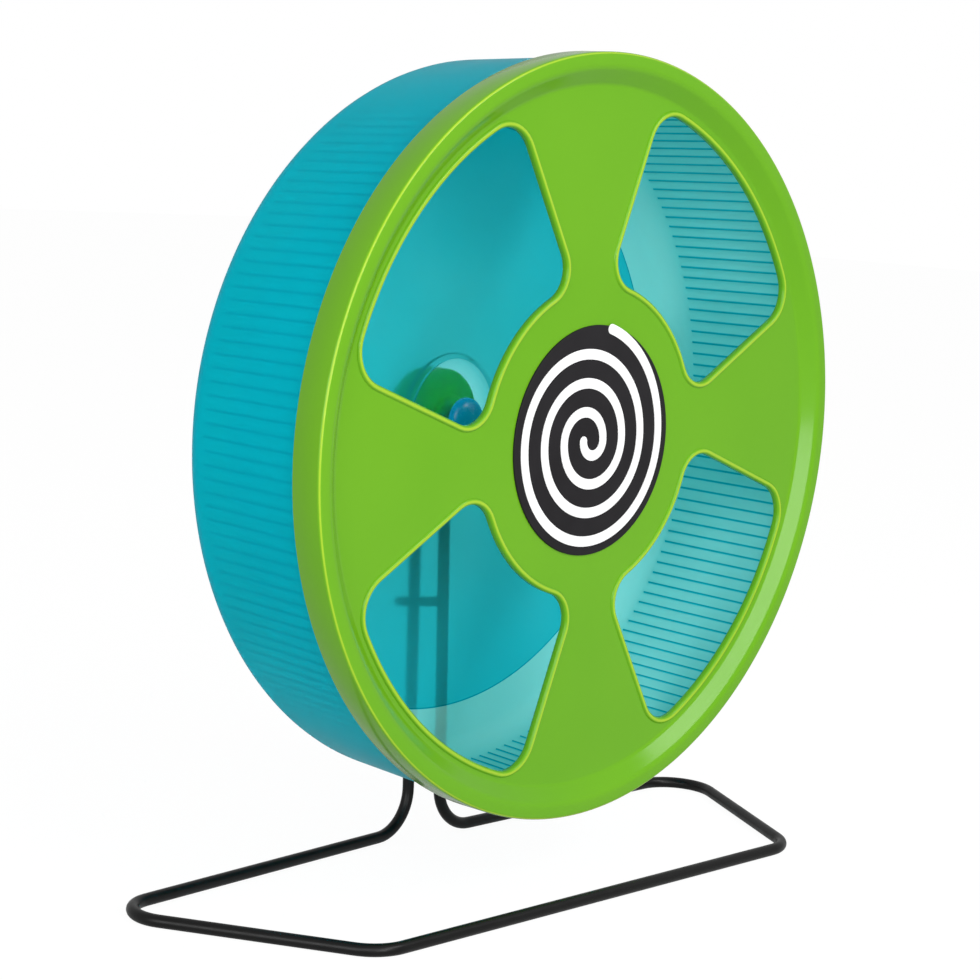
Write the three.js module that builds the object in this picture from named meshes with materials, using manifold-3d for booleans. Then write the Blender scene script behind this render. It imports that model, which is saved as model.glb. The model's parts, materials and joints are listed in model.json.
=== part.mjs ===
// A hamster wheel on a bent-wire stand, in millimetres.
// X runs across the wheel, +Y runs to the back and +Z runs up.
// The pieces are laid out with the wheel's front face at y = 0 and the floor at z = 0,
// and the whole is then centred on its own depth.
import * as THREE from 'three';
import { mergeVertices } from 'three/addons/utils/BufferGeometryUtils.js';
import Module from 'manifold-3d';

const wasm = await Module();
wasm.setup();

// General clearances and resolution
const fitGap = 0.3;
const cutOverrun = 2;
const mergeTolerance = 1e-4;
const roundSegments = 72;
const hubSegments = 36;
const hexagonSides = 6;
const smallSegments = 24;
const filletSteps = 2;

// Front ring
const ringRadius = 140;
const skirtDepth = 13;
const ringWall = 1.7;
const rimRound = 1.2;
const lipWidth = 5.6;
const slopeDepth = 5;
const slopeWidth = 5.9;
const slopeTopRound = 4;
const slopeFootRound = 2.5;
const webThickness = 2.2;

// Ring windows, between straight spokes that flare towards the rim
const windowCount = 4;
const windowRimWidth = 3.9;
const windowInnerRadius = 58;
const spokeFlareStart = 37;
const spokeFlareDegrees = 25.3;
const windowOuterFillet = 12.5;
const windowInnerFillet = 11;
const windowCurveSteps = 4;
const beadWidth = 2;
const beadHeight = 0.8;
const restTurnDegrees = 5.2;

// Spiral disc and its stripe
const discRadius = 42.4;
const discThickness = 0.8;
const stripeWidth = 3.8;
const stripeThickness = 0.2;
const stripeEdgeInset = 5.2;
const stripeInnerRadius = 5.4;
const stripeTurns = 3;
const stripeStartDegrees = 74;
const stripeCurveSteps = 6;

// Drum
const drumRimGap = 0.3;
const drumDepth = 76;
const drumWall = 2;
const drumTaper = 1.9;
const drumCorner = 12;
const cornerSteps = 4;
const ribCount = 176;
const ribHeight = 0.6;
const ribWidth = 1.3;
const treadInset = 0.15;
const ribFrontInset = 11;
const ribBackInset = 12;

// Hub recess and bearing boss at the middle of the drum's back wall
const recessRadius = 23;
const recessDepth = 3.3;
const recessWall = 1.8;
const recessCorner = 1.5;
const bossRadius = 8.4;
const bossHeight = 7.8;

// Ball bearing
const bearingBore = 4;
const bearingOuter = 13;
const bearingWidth = 5;
const bearingSeatDepth = 1.8;
const ballCount = 7;
const ballSides = 8;
const ballRings = 5;
const ballRadius = 1.05;
const raceWall = 1.35;
const cageWidth = 3.8;

// Blue cap over the bearing
const capRadius = 8.6;
const capRise = 5;
const capWall = 1.6;
const capRim = 1;
const capSpigotWall = 0.8;

// Axle bolt, sleeve, washer and nut
const boltRadius = 2;
const headAcrossFlats = 7;
const headHeight = 2.8;
const sleeveWall = 1.3;
const washerRadius = 4.5;
const washerThickness = 0.8;
const nutAcrossFlats = 7;
const nutHeight = 5;
const boltStickOut = 1;

// Plastic clamp round the wire's eye
const clampRadius = 18.5;
const clampRunningGap = 1.1;
const clampFrontDepth = 6.5;
const clampRearDepth = 13;
const clampEdgeRound = 2;
const clampRearShoulder = 3;
const nutPocketRadius = 5.6;
const nutPocketFloor = 4.6;
const domeSteps = 5;

// Stand: one bent wire and a welded cross bar
const wireRadius = 2.3;
const wireSides = 12;
const axleHeight = 168;
const eyeSpread = 5.7;
const eyeFront = 83.9;
const eyeSteps = 10;
const footBend = 17;
const cornerBend = 17;
const backLeftBend = 14;
const bendSteps = 6;
const baseBackHalfWidth = 163.2;
const baseBackDepth = 75.4;
const baseFrontLeft = { x: -113.1, y: -13.9 };
const baseFrontRight = { x: 109.3, y: -19.6 };
const leftFoot = { x: -1.8, y: 85.4 };
const rightFoot = { x: 9.5, y: 79 };
const barHeight = 93.5;
const barRadius = 1.9;
const barLeftOverhang = 6;
const barRightOverhang = 2;

// Sizes that follow from the ones above
const degrees = Math.PI / 180;
const lipRadius = ringRadius - rimRound;
const lipInnerRadius = ringRadius - lipWidth;
const slopeInnerRadius = lipInnerRadius - slopeWidth;
const slopeAngle = Math.atan2(slopeDepth, slopeWidth);
const windowOuterRadius = slopeInnerRadius - windowRimWidth;
const webFront = slopeDepth;
const webBack = webFront + webThickness;
const drumRimRadius = ringRadius - ringWall - fitGap;
const drumInnerRim = drumRimRadius - drumWall;
const stripeOuterRadius = discRadius - stripeEdgeInset;
const stripePitch = (stripeOuterRadius - stripeInnerRadius) / stripeTurns;
const drumFront = webThickness + drumRimGap;
const drumBackRadius = drumRimRadius - drumTaper;
const backWallInner = drumDepth - drumWall;
const recessFloor = backWallInner + recessDepth;
const recessBack = recessFloor + recessWall;
const bossFront = recessFloor - bossHeight;
const bearingFront = bossFront + bearingSeatDepth;
const bearingBack = bearingFront + bearingWidth;
const bearingSeatRadius = bearingOuter / 2;
const boreRadius = boltRadius + fitGap;
const ballPitchRadius = (bearingBore + bearingOuter) / 4;
const grooveRadius = ballRadius + fitGap;
const clampFrontFace = recessBack + clampRunningGap;
const clampSplit = clampFrontFace + clampFrontDepth;
const clampRearStart = clampSplit + fitGap;
const clampBack = clampRearStart + clampRearDepth;
const nutSeat = clampBack - nutPocketFloor;
const wireCorner = wireRadius / Math.cos(Math.PI / wireSides);
const eyeRadius = boreRadius + wireCorner;

// Colours from the photograph
const finishes = {
  green: { color: 0x76ba30, roughness: 0.35, metalness: 0 },
  teal: { color: 0x00a0b4, roughness: 0.25, metalness: 0, transparent: true, opacity: 0.75 },
  blue: { color: 0x0a6aa8, roughness: 0.35, metalness: 0 },
  black: { color: 0x2d2b2e, roughness: 0.6, metalness: 0 },
  white: { color: 0xf6f6f6, roughness: 0.55, metalness: 0 },
  coat: { color: 0x141414, roughness: 0.4, metalness: 0.1 },
  steel: { color: 0xb9bcc0, roughness: 0.3, metalness: 1 },
  zinc: { color: 0xa9adb0, roughness: 0.4, metalness: 1 },
};

function addPiece(parent, name, geometry, finish) {
  const shaded = geometry.index ? geometry.toNonIndexed() : geometry;
  shaded.computeVertexNormals();
  const mesh = new THREE.Mesh(shaded, new THREE.MeshStandardMaterial(finishes[finish]));
  mesh.name = name;
  parent.add(mesh);
  return mesh;
}

// A closed three.js geometry as a solid that can be joined and cut
function toSolid(geometry) {
  const bare = geometry.clone();
  bare.deleteAttribute('normal');
  bare.deleteAttribute('uv');
  const merged = mergeVertices(bare, mergeTolerance);
  return new wasm.Manifold(new wasm.Mesh({
    numProp: 3,
    vertProperties: new Float32Array(merged.attributes.position.array),
    triVerts: new Uint32Array(merged.index.array),
  }));
}

function toGeometry(solid) {
  const mesh = solid.getMesh();
  const geometry = new THREE.BufferGeometry();
  geometry.setAttribute('position', new THREE.BufferAttribute(mesh.vertProperties, 3));
  geometry.setIndex(new THREE.BufferAttribute(mesh.triVerts, 1));
  return geometry;
}

// A body of revolution about the Y axis, from [radius, depth] pairs
function turned(profile, segments) {
  const points = profile.map(([radius, depth]) => new THREE.Vector2(radius, depth));
  return new THREE.LatheGeometry(points, segments);
}

// A ring of rectangular section about the Y axis
function turnedRing(innerRadius, outerRadius, front, back, segments) {
  return turned([
    [innerRadius, front],
    [outerRadius, front],
    [outerRadius, back],
    [innerRadius, back],
    [innerRadius, front],
  ], segments);
}

// Points along an arc of a profile
function arcProfile(centreRadius, centreDepth, radius, fromAngle, toAngle, steps) {
  const points = [];
  for (let step = 0; step <= steps; step += 1) {
    const angle = fromAngle + (toAngle - fromAngle) * step / steps;
    points.push([centreRadius + radius * Math.cos(angle), centreDepth + radius * Math.sin(angle)]);
  }
  return points;
}

// An outline drawn in X and Z, as thick as the stretch of Y from front to back
function slab(shape, front, back, curveSteps) {
  const geometry = new THREE.ExtrudeGeometry(shape, {
    depth: back - front,
    bevelEnabled: false,
    curveSegments: curveSteps,
  });
  geometry.rotateX(Math.PI / 2);
  geometry.translate(0, back, 0);
  return geometry;
}

function hexagonShape(acrossFlats) {
  const cornerRadius = acrossFlats / 2 / Math.cos(Math.PI / hexagonSides);
  const corners = [];
  for (let side = 0; side < hexagonSides; side += 1) {
    const angle = side * 2 * Math.PI / hexagonSides;
    corners.push(new THREE.Vector2(Math.cos(angle), Math.sin(angle)).multiplyScalar(cornerRadius));
  }
  return new THREE.Shape(corners);
}

// Front ring: profile from the middle of the front face, round the rim, to the middle of the back
function slopeProfile() {
  const footRadius = slopeInnerRadius - slopeFootRound * Math.tan(slopeAngle / 2);
  const topRadius = lipInnerRadius + slopeTopRound * Math.tan(slopeAngle / 2);
  const back = Math.PI / 2;
  return [
    ...arcProfile(footRadius, webFront - slopeFootRound, slopeFootRound, back, back - slopeAngle, filletSteps),
    ...arcProfile(topRadius, slopeTopRound, slopeTopRound, -back - slopeAngle, -back, filletSteps),
  ];
}

// Outline of one window about the +X axis, grown outwards by a margin
function windowOutline(margin) {
  const outerRadius = windowOuterRadius + margin;
  const innerRadius = windowInnerRadius - margin;
  const outerFillet = windowOuterFillet + margin;
  const innerFillet = windowInnerFillet + margin;
  const spokeAngle = Math.PI / windowCount;
  const sideAngle = spokeAngle - spokeFlareDegrees * degrees;
  const along = new THREE.Vector2(Math.cos(sideAngle), Math.sin(sideAngle));
  const inward = new THREE.Vector2(Math.sin(sideAngle), -Math.cos(sideAngle));
  const start = new THREE.Vector2(Math.cos(spokeAngle), Math.sin(spokeAngle));
  start.multiplyScalar(spokeFlareStart).addScaledVector(inward, -margin);

  // Centre of a fillet that touches the side and stays at a given radius from the axle
  function filletCentre(fillet, centreRadius) {
    const base = start.clone().addScaledVector(inward, fillet);
    const projection = base.dot(along);
    const reach = Math.sqrt(projection ** 2 - base.lengthSq() + centreRadius ** 2);
    return base.addScaledVector(along, reach - projection);
  }

  const outer = filletCentre(outerFillet, outerRadius - outerFillet);
  const inner = filletCentre(innerFillet, innerRadius + innerFillet);
  const outerAngle = outer.angle();
  const innerAngle = inner.angle();
  const sideNormal = sideAngle + Math.PI / 2;
  const shape = new THREE.Shape();
  shape.absarc(0, 0, outerRadius, -outerAngle, outerAngle, false);
  shape.absarc(outer.x, outer.y, outerFillet, outerAngle, sideNormal, false);
  shape.absarc(inner.x, inner.y, innerFillet, sideNormal, innerAngle + Math.PI, false);
  shape.absarc(0, 0, innerRadius, innerAngle, -innerAngle, true);
  shape.absarc(inner.x, -inner.y, innerFillet, Math.PI - innerAngle, 2 * Math.PI - sideNormal, false);
  shape.absarc(outer.x, -outer.y, outerFillet, -sideNormal, -outerAngle, false);
  return shape;
}

function windowTurn(index) {
  return -(restTurnDegrees * degrees + (index + 1 / 2) * 2 * Math.PI / windowCount);
}

function frontRingGeometry() {
  const profile = [
    [0, webFront],
    ...slopeProfile(),
    ...arcProfile(lipRadius, rimRound, rimRound, -Math.PI / 2, 0, filletSteps),
    [ringRadius, skirtDepth],
    [ringRadius - ringWall, skirtDepth],
    [ringRadius - ringWall, webThickness],
    [lipInnerRadius, webThickness],
    [slopeInnerRadius, webBack],
    [0, webBack],
  ];
  let ring = toSolid(turned(profile, roundSegments));
  const opening = slab(windowOutline(0), -cutOverrun, webBack + cutOverrun, windowCurveSteps);
  const bead = slab(windowOutline(beadWidth), webFront - beadHeight, webBack, windowCurveSteps);
  for (let index = 0; index < windowCount; index += 1) {
    ring = ring.add(toSolid(bead.clone().rotateY(windowTurn(index))));
    ring = ring.subtract(toSolid(opening.clone().rotateY(windowTurn(index))));
  }
  return toGeometry(ring);
}

// Spiral stripe: half circles whose centres alternate, as a spiral is drawn with compasses
function stripeShape() {
  const halfWidth = stripeWidth / 2;
  const shift = -stripePitch / 2;
  const startAngle = stripeStartDegrees * degrees;
  const arcs = [{ x: shift, radius: stripeOuterRadius - shift, from: startAngle, to: 0 }];
  for (let turn = 0; turn < stripeTurns; turn += 1) {
    const radius = stripeOuterRadius - turn * stripePitch;
    arcs.push({ x: 0, radius, from: 0, to: -Math.PI });
    arcs.push({ x: shift, radius: radius + shift, from: Math.PI, to: 0 });
  }
  arcs.push({ x: 0, radius: stripeInnerRadius, from: 0, to: -Math.PI });

  const shape = new THREE.Shape();
  for (const arc of arcs) {
    shape.absarc(arc.x, 0, arc.radius + halfWidth, arc.from, arc.to, true);
  }
  shape.absarc(-stripeInnerRadius, 0, halfWidth, Math.PI, 0, true);
  for (const arc of [...arcs].reverse()) {
    shape.absarc(arc.x, 0, arc.radius - halfWidth, arc.to, arc.from, false);
  }
  const first = arcs[0];
  const capX = first.x + first.radius * Math.cos(startAngle);
  const capZ = first.radius * Math.sin(startAngle);
  shape.absarc(capX, capZ, halfWidth, startAngle + Math.PI, startAngle, true);
  return shape;
}

// Drum shell: wall, rounded corner and back wall, open where the hub goes
function drumShellGeometry() {
  const quarter = Math.PI / 2;
  const cornerRadius = drumBackRadius - drumCorner;
  const cornerDepth = drumDepth - drumCorner;
  return turned([
    [drumRimRadius, drumFront],
    [drumRimRadius, skirtDepth],
    ...arcProfile(cornerRadius, cornerDepth, drumCorner, 0, quarter, cornerSteps),
    [recessRadius + recessWall / 2, drumDepth],
    [recessRadius + recessWall / 2, backWallInner],
    ...arcProfile(cornerRadius, cornerDepth, drumCorner - drumWall, quarter, 0, cornerSteps),
    [drumInnerRim, skirtDepth],
    [drumInnerRim, drumFront],
    [drumRimRadius, drumFront],
  ], roundSegments);
}

// Hub: a shallow recess with the bearing boss standing on its floor
function drumHubGeometry() {
  const floorHole = bearingSeatRadius - raceWall;
  return turned([
    [recessRadius + recessWall, backWallInner],
    [recessRadius + recessWall, recessBack],
    [floorHole, recessBack],
    [floorHole, bearingBack],
    [bearingSeatRadius + fitGap, bearingBack],
    [bearingSeatRadius + fitGap, bossFront],
    [bossRadius, bossFront],
    [bossRadius, recessFloor],
    ...arcProfile(recessRadius - recessCorner, recessFloor - recessCorner, recessCorner,
      Math.PI / 2, 0, filletSteps),
    [recessRadius, backWallInner],
    [recessRadius + recessWall, backWallInner],
  ], hubSegments);
}

function drumGeometry() {
  const shell = toSolid(drumShellGeometry());
  const hub = toSolid(drumHubGeometry());
  return toGeometry(shell.add(hub).add(toSolid(ribGeometry())));
}

// Tread ribs: a thin liner on the running surface whose inside carries every rib
function ribGeometry() {
  const front = drumFront + ribFrontInset;
  const back = drumDepth - ribBackInset;
  const valley = drumBackRadius - drumWall - treadInset;
  const crest = valley - ribHeight;
  const halfAngle = ribWidth / 2 / valley;
  const outline = [];
  for (let rib = 0; rib < ribCount; rib += 1) {
    const middle = rib * 2 * Math.PI / ribCount;
    const stations = [[valley, middle - halfAngle], [crest, middle], [valley, middle + halfAngle]];
    for (const [radius, angle] of stations) {
      outline.push(new THREE.Vector2(Math.cos(angle), Math.sin(angle)).multiplyScalar(radius));
    }
  }
  const backing = new THREE.Shape();
  backing.absarc(0, 0, valley + drumWall / 2, 0, 2 * Math.PI, false);
  backing.holes.push(new THREE.Path(outline));
  const liner = slab(backing, front, back, hubSegments);

  // The liner widens towards the front with the drum's wall
  const position = liner.attributes.position;
  const wallLength = drumDepth - drumCorner - skirtDepth;
  for (let index = 0; index < position.count; index += 1) {
    const toFront = (drumDepth - drumCorner - position.getY(index)) / wallLength;
    const growth = 1 + toFront * drumTaper / valley;
    position.setX(index, position.getX(index) * growth);
    position.setZ(index, position.getZ(index) * growth);
  }
  return liner;
}

// Bearing
function raceGeometry(innerRadius, outerRadius) {
  const middle = (bearingFront + bearingBack) / 2;
  const race = toSolid(turnedRing(innerRadius, outerRadius, bearingFront, bearingBack, smallSegments));
  const groove = turned(
    arcProfile(ballPitchRadius, middle, grooveRadius, 0, 2 * Math.PI, 4 * filletSteps),
    smallSegments,
  );
  return toGeometry(race.subtract(toSolid(groove)));
}

function ballPlace(index) {
  const angle = index * 2 * Math.PI / ballCount;
  const middle = (bearingFront + bearingBack) / 2;
  return [ballPitchRadius * Math.cos(angle), middle, ballPitchRadius * Math.sin(angle)];
}

function cageGeometry() {
  const middle = (bearingFront + bearingBack) / 2;
  const innerRadius = boreRadius + raceWall + fitGap;
  const outerRadius = bearingSeatRadius - raceWall - fitGap;
  let cage = toSolid(turnedRing(innerRadius, outerRadius,
    middle - cageWidth / 2, middle + cageWidth / 2, smallSegments));
  for (let index = 0; index < ballCount; index += 1) {
    const pocket = new THREE.SphereGeometry(grooveRadius, ballSides, ballRings);
    pocket.translate(...ballPlace(index));
    cage = cage.subtract(toSolid(pocket));
  }
  return toGeometry(cage);
}

// Cap: a shallow dome with a spigot that enters the bearing seat
function capGeometry() {
  const spigotOuter = bearingSeatRadius;
  const spigotInner = spigotOuter - capSpigotWall;
  const rimFront = bossFront - capRim;
  const domeFront = bossFront - capRise;
  const outside = [];
  for (let step = 0; step <= domeSteps; step += 1) {
    const angle = step / domeSteps * Math.PI / 2;
    outside.push([capRadius * Math.sin(angle), rimFront - (rimFront - domeFront) * Math.cos(angle)]);
  }
  outside[0][0] = 0;
  return turned([
    ...outside,
    [capRadius, bossFront],
    [spigotOuter, bossFront],
    [spigotOuter, bearingFront - fitGap],
    [spigotInner, bearingFront - fitGap],
    [spigotInner, rimFront],
    [0, domeFront + capWall],
  ], smallSegments);
}

function boltGeometry() {
  const head = slab(hexagonShape(headAcrossFlats), bearingFront - headHeight, bearingFront, 1);
  const end = nutSeat + washerThickness + nutHeight + boltStickOut;
  const shank = turned([
    [0, bearingFront - headHeight / 2],
    [boltRadius, bearingFront - headHeight / 2],
    [boltRadius, end],
    [0, end],
  ], smallSegments);
  return toGeometry(toSolid(head).add(toSolid(shank)));
}

function nutGeometry() {
  const front = nutSeat + washerThickness;
  const body = toSolid(slab(hexagonShape(nutAcrossFlats), front, front + nutHeight, 1));
  const bore = turned([
    [0, front - cutOverrun],
    [boreRadius, front - cutOverrun],
    [boreRadius, front + nutHeight + cutOverrun],
    [0, front + nutHeight + cutOverrun],
  ], smallSegments);
  return toGeometry(body.subtract(toSolid(bore)));
}

// Stand wire: stations along its centre line, each with a direction and an upright section
class WirePath {
  constructor() {
    this.stations = [];
  }

  add(point, tangent, sideways) {
    this.stations.push({ point: point.clone(), tangent: tangent.clone().normalize(), sideways });
  }

  // A bend of given radius that replaces a corner; it turns in the plane of its two stretches
  addBend(before, corner, after, radius, sidewaysOf) {
    const arriving = corner.clone().sub(before).normalize();
    const leaving = after.clone().sub(corner).normalize();
    const turn = arriving.angleTo(leaving);
    const setback = radius * Math.tan(turn / 2);
    const begin = corner.clone().addScaledVector(arriving, -setback);
    const axis = arriving.clone().cross(leaving).normalize();
    const centre = begin.clone().addScaledVector(axis.clone().cross(arriving), radius);
    for (let step = 0; step <= bendSteps; step += 1) {
      const angle = turn * step / bendSteps;
      const point = begin.clone().sub(centre).applyAxisAngle(axis, angle).add(centre);
      const tangent = arriving.clone().applyAxisAngle(axis, angle);
      this.add(point, tangent, sidewaysOf(tangent));
    }
  }

  getSpacedPoints() {
    return this.stations.map((station) => station.point);
  }

  computeFrenetFrames() {
    const tangents = this.stations.map((station) => station.tangent);
    const normals = this.stations.map(({ tangent, sideways }) => (
      sideways.clone().addScaledVector(tangent, -sideways.dot(tangent)).normalize()
    ));
    const binormals = tangents.map((tangent, index) => tangent.clone().cross(normals[index]));
    return { tangents, normals, binormals };
  }
}

const floorSideways = (tangent) => new THREE.Vector3(0, 0, 1).cross(tangent);
const upSideways = () => new THREE.Vector3(0, -1, 0);

function onFloor(place) {
  return new THREE.Vector3(place.x, place.y, wireRadius);
}

function eyePoint(angle) {
  const depth = eyeFront + eyeSpread * (1 - Math.cos(angle)) / 2;
  return new THREE.Vector3(eyeRadius * Math.cos(angle), depth, axleHeight + eyeRadius * Math.sin(angle));
}

function standPath() {
  const frontLeft = onFloor(baseFrontLeft);
  const frontRight = onFloor(baseFrontRight);
  const backLeft = onFloor({ x: -baseBackHalfWidth, y: baseBackDepth });
  const backRight = onFloor({ x: baseBackHalfWidth, y: baseBackDepth });
  const footLeft = onFloor(leftFoot);
  const footRight = onFloor(rightFoot);
  const eyeRight = eyePoint(0);
  const eyeLeft = eyePoint(Math.PI);
  const path = new WirePath();
  path.addBend(frontLeft, frontRight, backRight, cornerBend, floorSideways);
  path.addBend(frontRight, backRight, footRight, cornerBend, floorSideways);
  path.addBend(backRight, footRight, eyeRight, footBend, upSideways);
  for (let step = 0; step <= eyeSteps; step += 1) {
    const angle = Math.PI * step / eyeSteps;
    const depthRate = eyeSpread * Math.sin(angle) / 2;
    const tangent = new THREE.Vector3(
      -eyeRadius * Math.sin(angle), depthRate, eyeRadius * Math.cos(angle),
    );
    path.add(eyePoint(angle), tangent, upSideways());
  }
  path.addBend(eyeLeft, footLeft, backLeft, footBend, upSideways);
  path.addBend(footLeft, backLeft, frontLeft, backLeftBend, floorSideways);
  path.addBend(backLeft, frontLeft, frontRight, cornerBend, floorSideways);
  path.stations.push(path.stations[0]);
  return path;
}

function wireSection(radius) {
  const corners = [];
  for (let side = 0; side < wireSides; side += 1) {
    const angle = (side + 1 / 2) * 2 * Math.PI / wireSides;
    corners.push(new THREE.Vector2(Math.cos(angle), Math.sin(angle)).multiplyScalar(radius));
  }
  return new THREE.Shape(corners);
}

// The wire closes on itself, so the end lids of the extrusion are left out
function closedWireGeometry(radius) {
  const path = standPath();
  const tube = new THREE.ExtrudeGeometry(wireSection(radius), {
    steps: path.stations.length - 1,
    bevelEnabled: false,
    extrudePath: path,
  });
  const walls = tube.groups.find((group) => group.materialIndex === 1);
  const positions = tube.attributes.position.array.slice(walls.start * 3, (walls.start + walls.count) * 3);
  const geometry = new THREE.BufferGeometry();
  geometry.setAttribute('position', new THREE.BufferAttribute(positions, 3));
  return mergeVertices(geometry, mergeTolerance);
}

// Place of an upright's centre line at a given height
function uprightAt(foot, top, height) {
  const bottom = onFloor(foot);
  return bottom.clone().lerp(top, (height - bottom.z) / (top.z - bottom.z));
}

// Cross bar: it lies against the back of both uprights
function placeCrossBar(parent) {
  const left = uprightAt(leftFoot, eyePoint(Math.PI), barHeight);
  const right = uprightAt(rightFoot, eyePoint(0), barHeight);
  const along = right.clone().sub(left).normalize();
  const backwards = new THREE.Vector3(0, 0, 1).cross(along).normalize();
  const offset = wireCorner + fitGap + barRadius;
  const start = left.clone().addScaledVector(along, -barLeftOverhang);
  const end = right.clone().addScaledVector(along, wireRadius + barRightOverhang);
  const bar = addPiece(
    parent,
    'cross_bar',
    new THREE.CylinderGeometry(barRadius, barRadius, start.distanceTo(end), wireSides),
    'coat',
  );
  bar.position.copy(start).add(end).multiplyScalar(1 / 2).addScaledVector(backwards, offset);
  bar.quaternion.setFromUnitVectors(new THREE.Vector3(0, 1, 0), along);
}

// Clamp halves: round blocks cut by the wire that they grip
function clampFrontGeometry(grippedWire) {
  const round = arcProfile(clampRadius - clampEdgeRound, clampFrontFace + clampEdgeRound,
    clampEdgeRound, -Math.PI / 2, 0, filletSteps);
  const block = toSolid(turned([
    [boreRadius, clampFrontFace],
    ...round,
    [clampRadius, clampSplit],
    [boreRadius, clampSplit],
    [boreRadius, clampFrontFace],
  ], hubSegments));
  return toGeometry(block.subtract(grippedWire));
}

function clampRearGeometry(grippedWire) {
  const shoulder = clampRearStart + clampRearShoulder;
  const dome = [];
  for (let step = 0; step <= domeSteps; step += 1) {
    const angle = step / domeSteps * Math.acos(nutPocketRadius / clampRadius);
    const depth = shoulder + (clampBack - shoulder) * Math.sin(angle);
    dome.push([clampRadius * Math.cos(angle), depth]);
  }
  const lip = dome[domeSteps];
  const block = toSolid(turned([
    [boreRadius, clampRearStart],
    [clampRadius, clampRearStart],
    ...dome,
    [lip[0], nutSeat],
    [boreRadius, nutSeat],
    [boreRadius, clampRearStart],
  ], hubSegments));
  return toGeometry(block.subtract(grippedWire));
}

const hamsterWheel = new THREE.Group();
const stand = new THREE.Group();
const wheel = new THREE.Group();
hamsterWheel.add(stand, wheel);

// The wheel's own frame has the axle on its Y axis
wheel.position.z = axleHeight;
addPiece(wheel, 'front_ring', frontRingGeometry(), 'green');
addPiece(wheel, 'drum', drumGeometry(), 'teal');
addPiece(wheel, 'spiral_disc', turned([
  [0, webFront - discThickness],
  [discRadius, webFront - discThickness],
  [discRadius, webFront],
  [0, webFront],
], hubSegments), 'black');
const stripeBack = webFront - discThickness;
addPiece(wheel, 'spiral_stripe',
  slab(stripeShape(), stripeBack - stripeThickness, stripeBack, stripeCurveSteps), 'white');
addPiece(wheel, 'hub_cap', capGeometry(), 'blue');
addPiece(wheel, 'bearing_outer_race', raceGeometry(bearingSeatRadius - raceWall, bearingSeatRadius), 'steel');
addPiece(wheel, 'bearing_cage', cageGeometry(), 'zinc');
for (let index = 0; index < ballCount; index += 1) {
  const ball = addPiece(wheel, `bearing_ball_${index + 1}`,
    new THREE.SphereGeometry(ballRadius, ballSides, ballRings), 'steel');
  ball.position.set(...ballPlace(index));
}

// Pieces of the stand that share the axle's line
const axleLine = new THREE.Group();
axleLine.position.z = axleHeight;
stand.add(axleLine);
addPiece(axleLine, 'bearing_inner_race', raceGeometry(boreRadius, boreRadius + raceWall), 'steel');
addPiece(axleLine, 'axle_bolt', boltGeometry(), 'zinc');
addPiece(axleLine, 'spacer_sleeve',
  turnedRing(boreRadius, boreRadius + sleeveWall, bearingBack, clampFrontFace, smallSegments), 'zinc');
addPiece(axleLine, 'rear_washer',
  turnedRing(boreRadius, washerRadius, nutSeat, nutSeat + washerThickness, smallSegments), 'zinc');
addPiece(axleLine, 'lock_nut', nutGeometry(), 'zinc');

const wireGeometry = closedWireGeometry(wireCorner);
addPiece(stand, 'stand_wire', wireGeometry, 'coat');
placeCrossBar(stand);
const grippedWire = toSolid(closedWireGeometry(wireCorner + fitGap).translate(0, 0, -axleHeight));
addPiece(axleLine, 'clamp_front', clampFrontGeometry(grippedWire), 'green');
addPiece(axleLine, 'clamp_rear', clampRearGeometry(grippedWire), 'green');

// The origin is on the floor, under the middle of the whole object
const outerBox = new THREE.Box3().setFromObject(hamsterWheel);
const outerCentre = outerBox.getCenter(new THREE.Vector3());
hamsterWheel.position.set(-outerCentre.x, -outerCentre.y, 0);
hamsterWheel.updateMatrixWorld(true);

export default hamsterWheel;
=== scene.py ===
# %% [markdown]
# # A hamster wheel on a bent-wire stand
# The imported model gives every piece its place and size. Each cell below looks at one piece of the
# real wheel, says how it could be modelled, and then builds the fine version that is rendered.

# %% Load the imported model
import json
import math

import bmesh
import bpy
from mathutils import Matrix, Vector


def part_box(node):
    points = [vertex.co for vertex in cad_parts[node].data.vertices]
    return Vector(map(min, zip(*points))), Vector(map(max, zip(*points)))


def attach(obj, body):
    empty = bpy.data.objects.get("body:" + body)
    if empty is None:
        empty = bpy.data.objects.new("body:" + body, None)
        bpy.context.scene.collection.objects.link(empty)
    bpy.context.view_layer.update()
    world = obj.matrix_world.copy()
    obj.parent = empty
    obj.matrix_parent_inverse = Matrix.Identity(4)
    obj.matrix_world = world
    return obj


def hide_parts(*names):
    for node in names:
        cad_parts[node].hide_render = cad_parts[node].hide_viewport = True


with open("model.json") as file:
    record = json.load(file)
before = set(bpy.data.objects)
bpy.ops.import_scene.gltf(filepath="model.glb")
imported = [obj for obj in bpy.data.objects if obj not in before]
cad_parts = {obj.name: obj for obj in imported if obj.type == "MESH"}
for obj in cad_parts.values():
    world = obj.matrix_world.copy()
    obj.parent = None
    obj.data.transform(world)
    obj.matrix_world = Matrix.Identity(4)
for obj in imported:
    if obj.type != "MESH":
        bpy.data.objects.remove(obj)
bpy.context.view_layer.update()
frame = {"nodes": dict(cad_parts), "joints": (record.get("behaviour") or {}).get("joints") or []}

# %% [markdown]
# ## Where the axle is
# The whole wheel is turned about one line, so its sizes are easiest to read as a radius from the
# axle and a depth behind the front face. The axle's line comes from the joint and the front face
# from the ring, and nothing is fitted by eye.

# %% Axle and depth
MM = 0.001
TAU = 2 * math.pi
hinge = frame["joints"][0]["pos_m"]
front_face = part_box("front_ring")[0].y
axle = Vector((hinge[0], front_face, hinge[2]))
AXLE_LINE = Vector((0, 1, 0))


def at(radius, depth):
    """A point to the right of the axle, from millimetres of radius and of depth behind the face."""
    return axle + Vector((radius * MM, depth * MM, 0))


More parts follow.
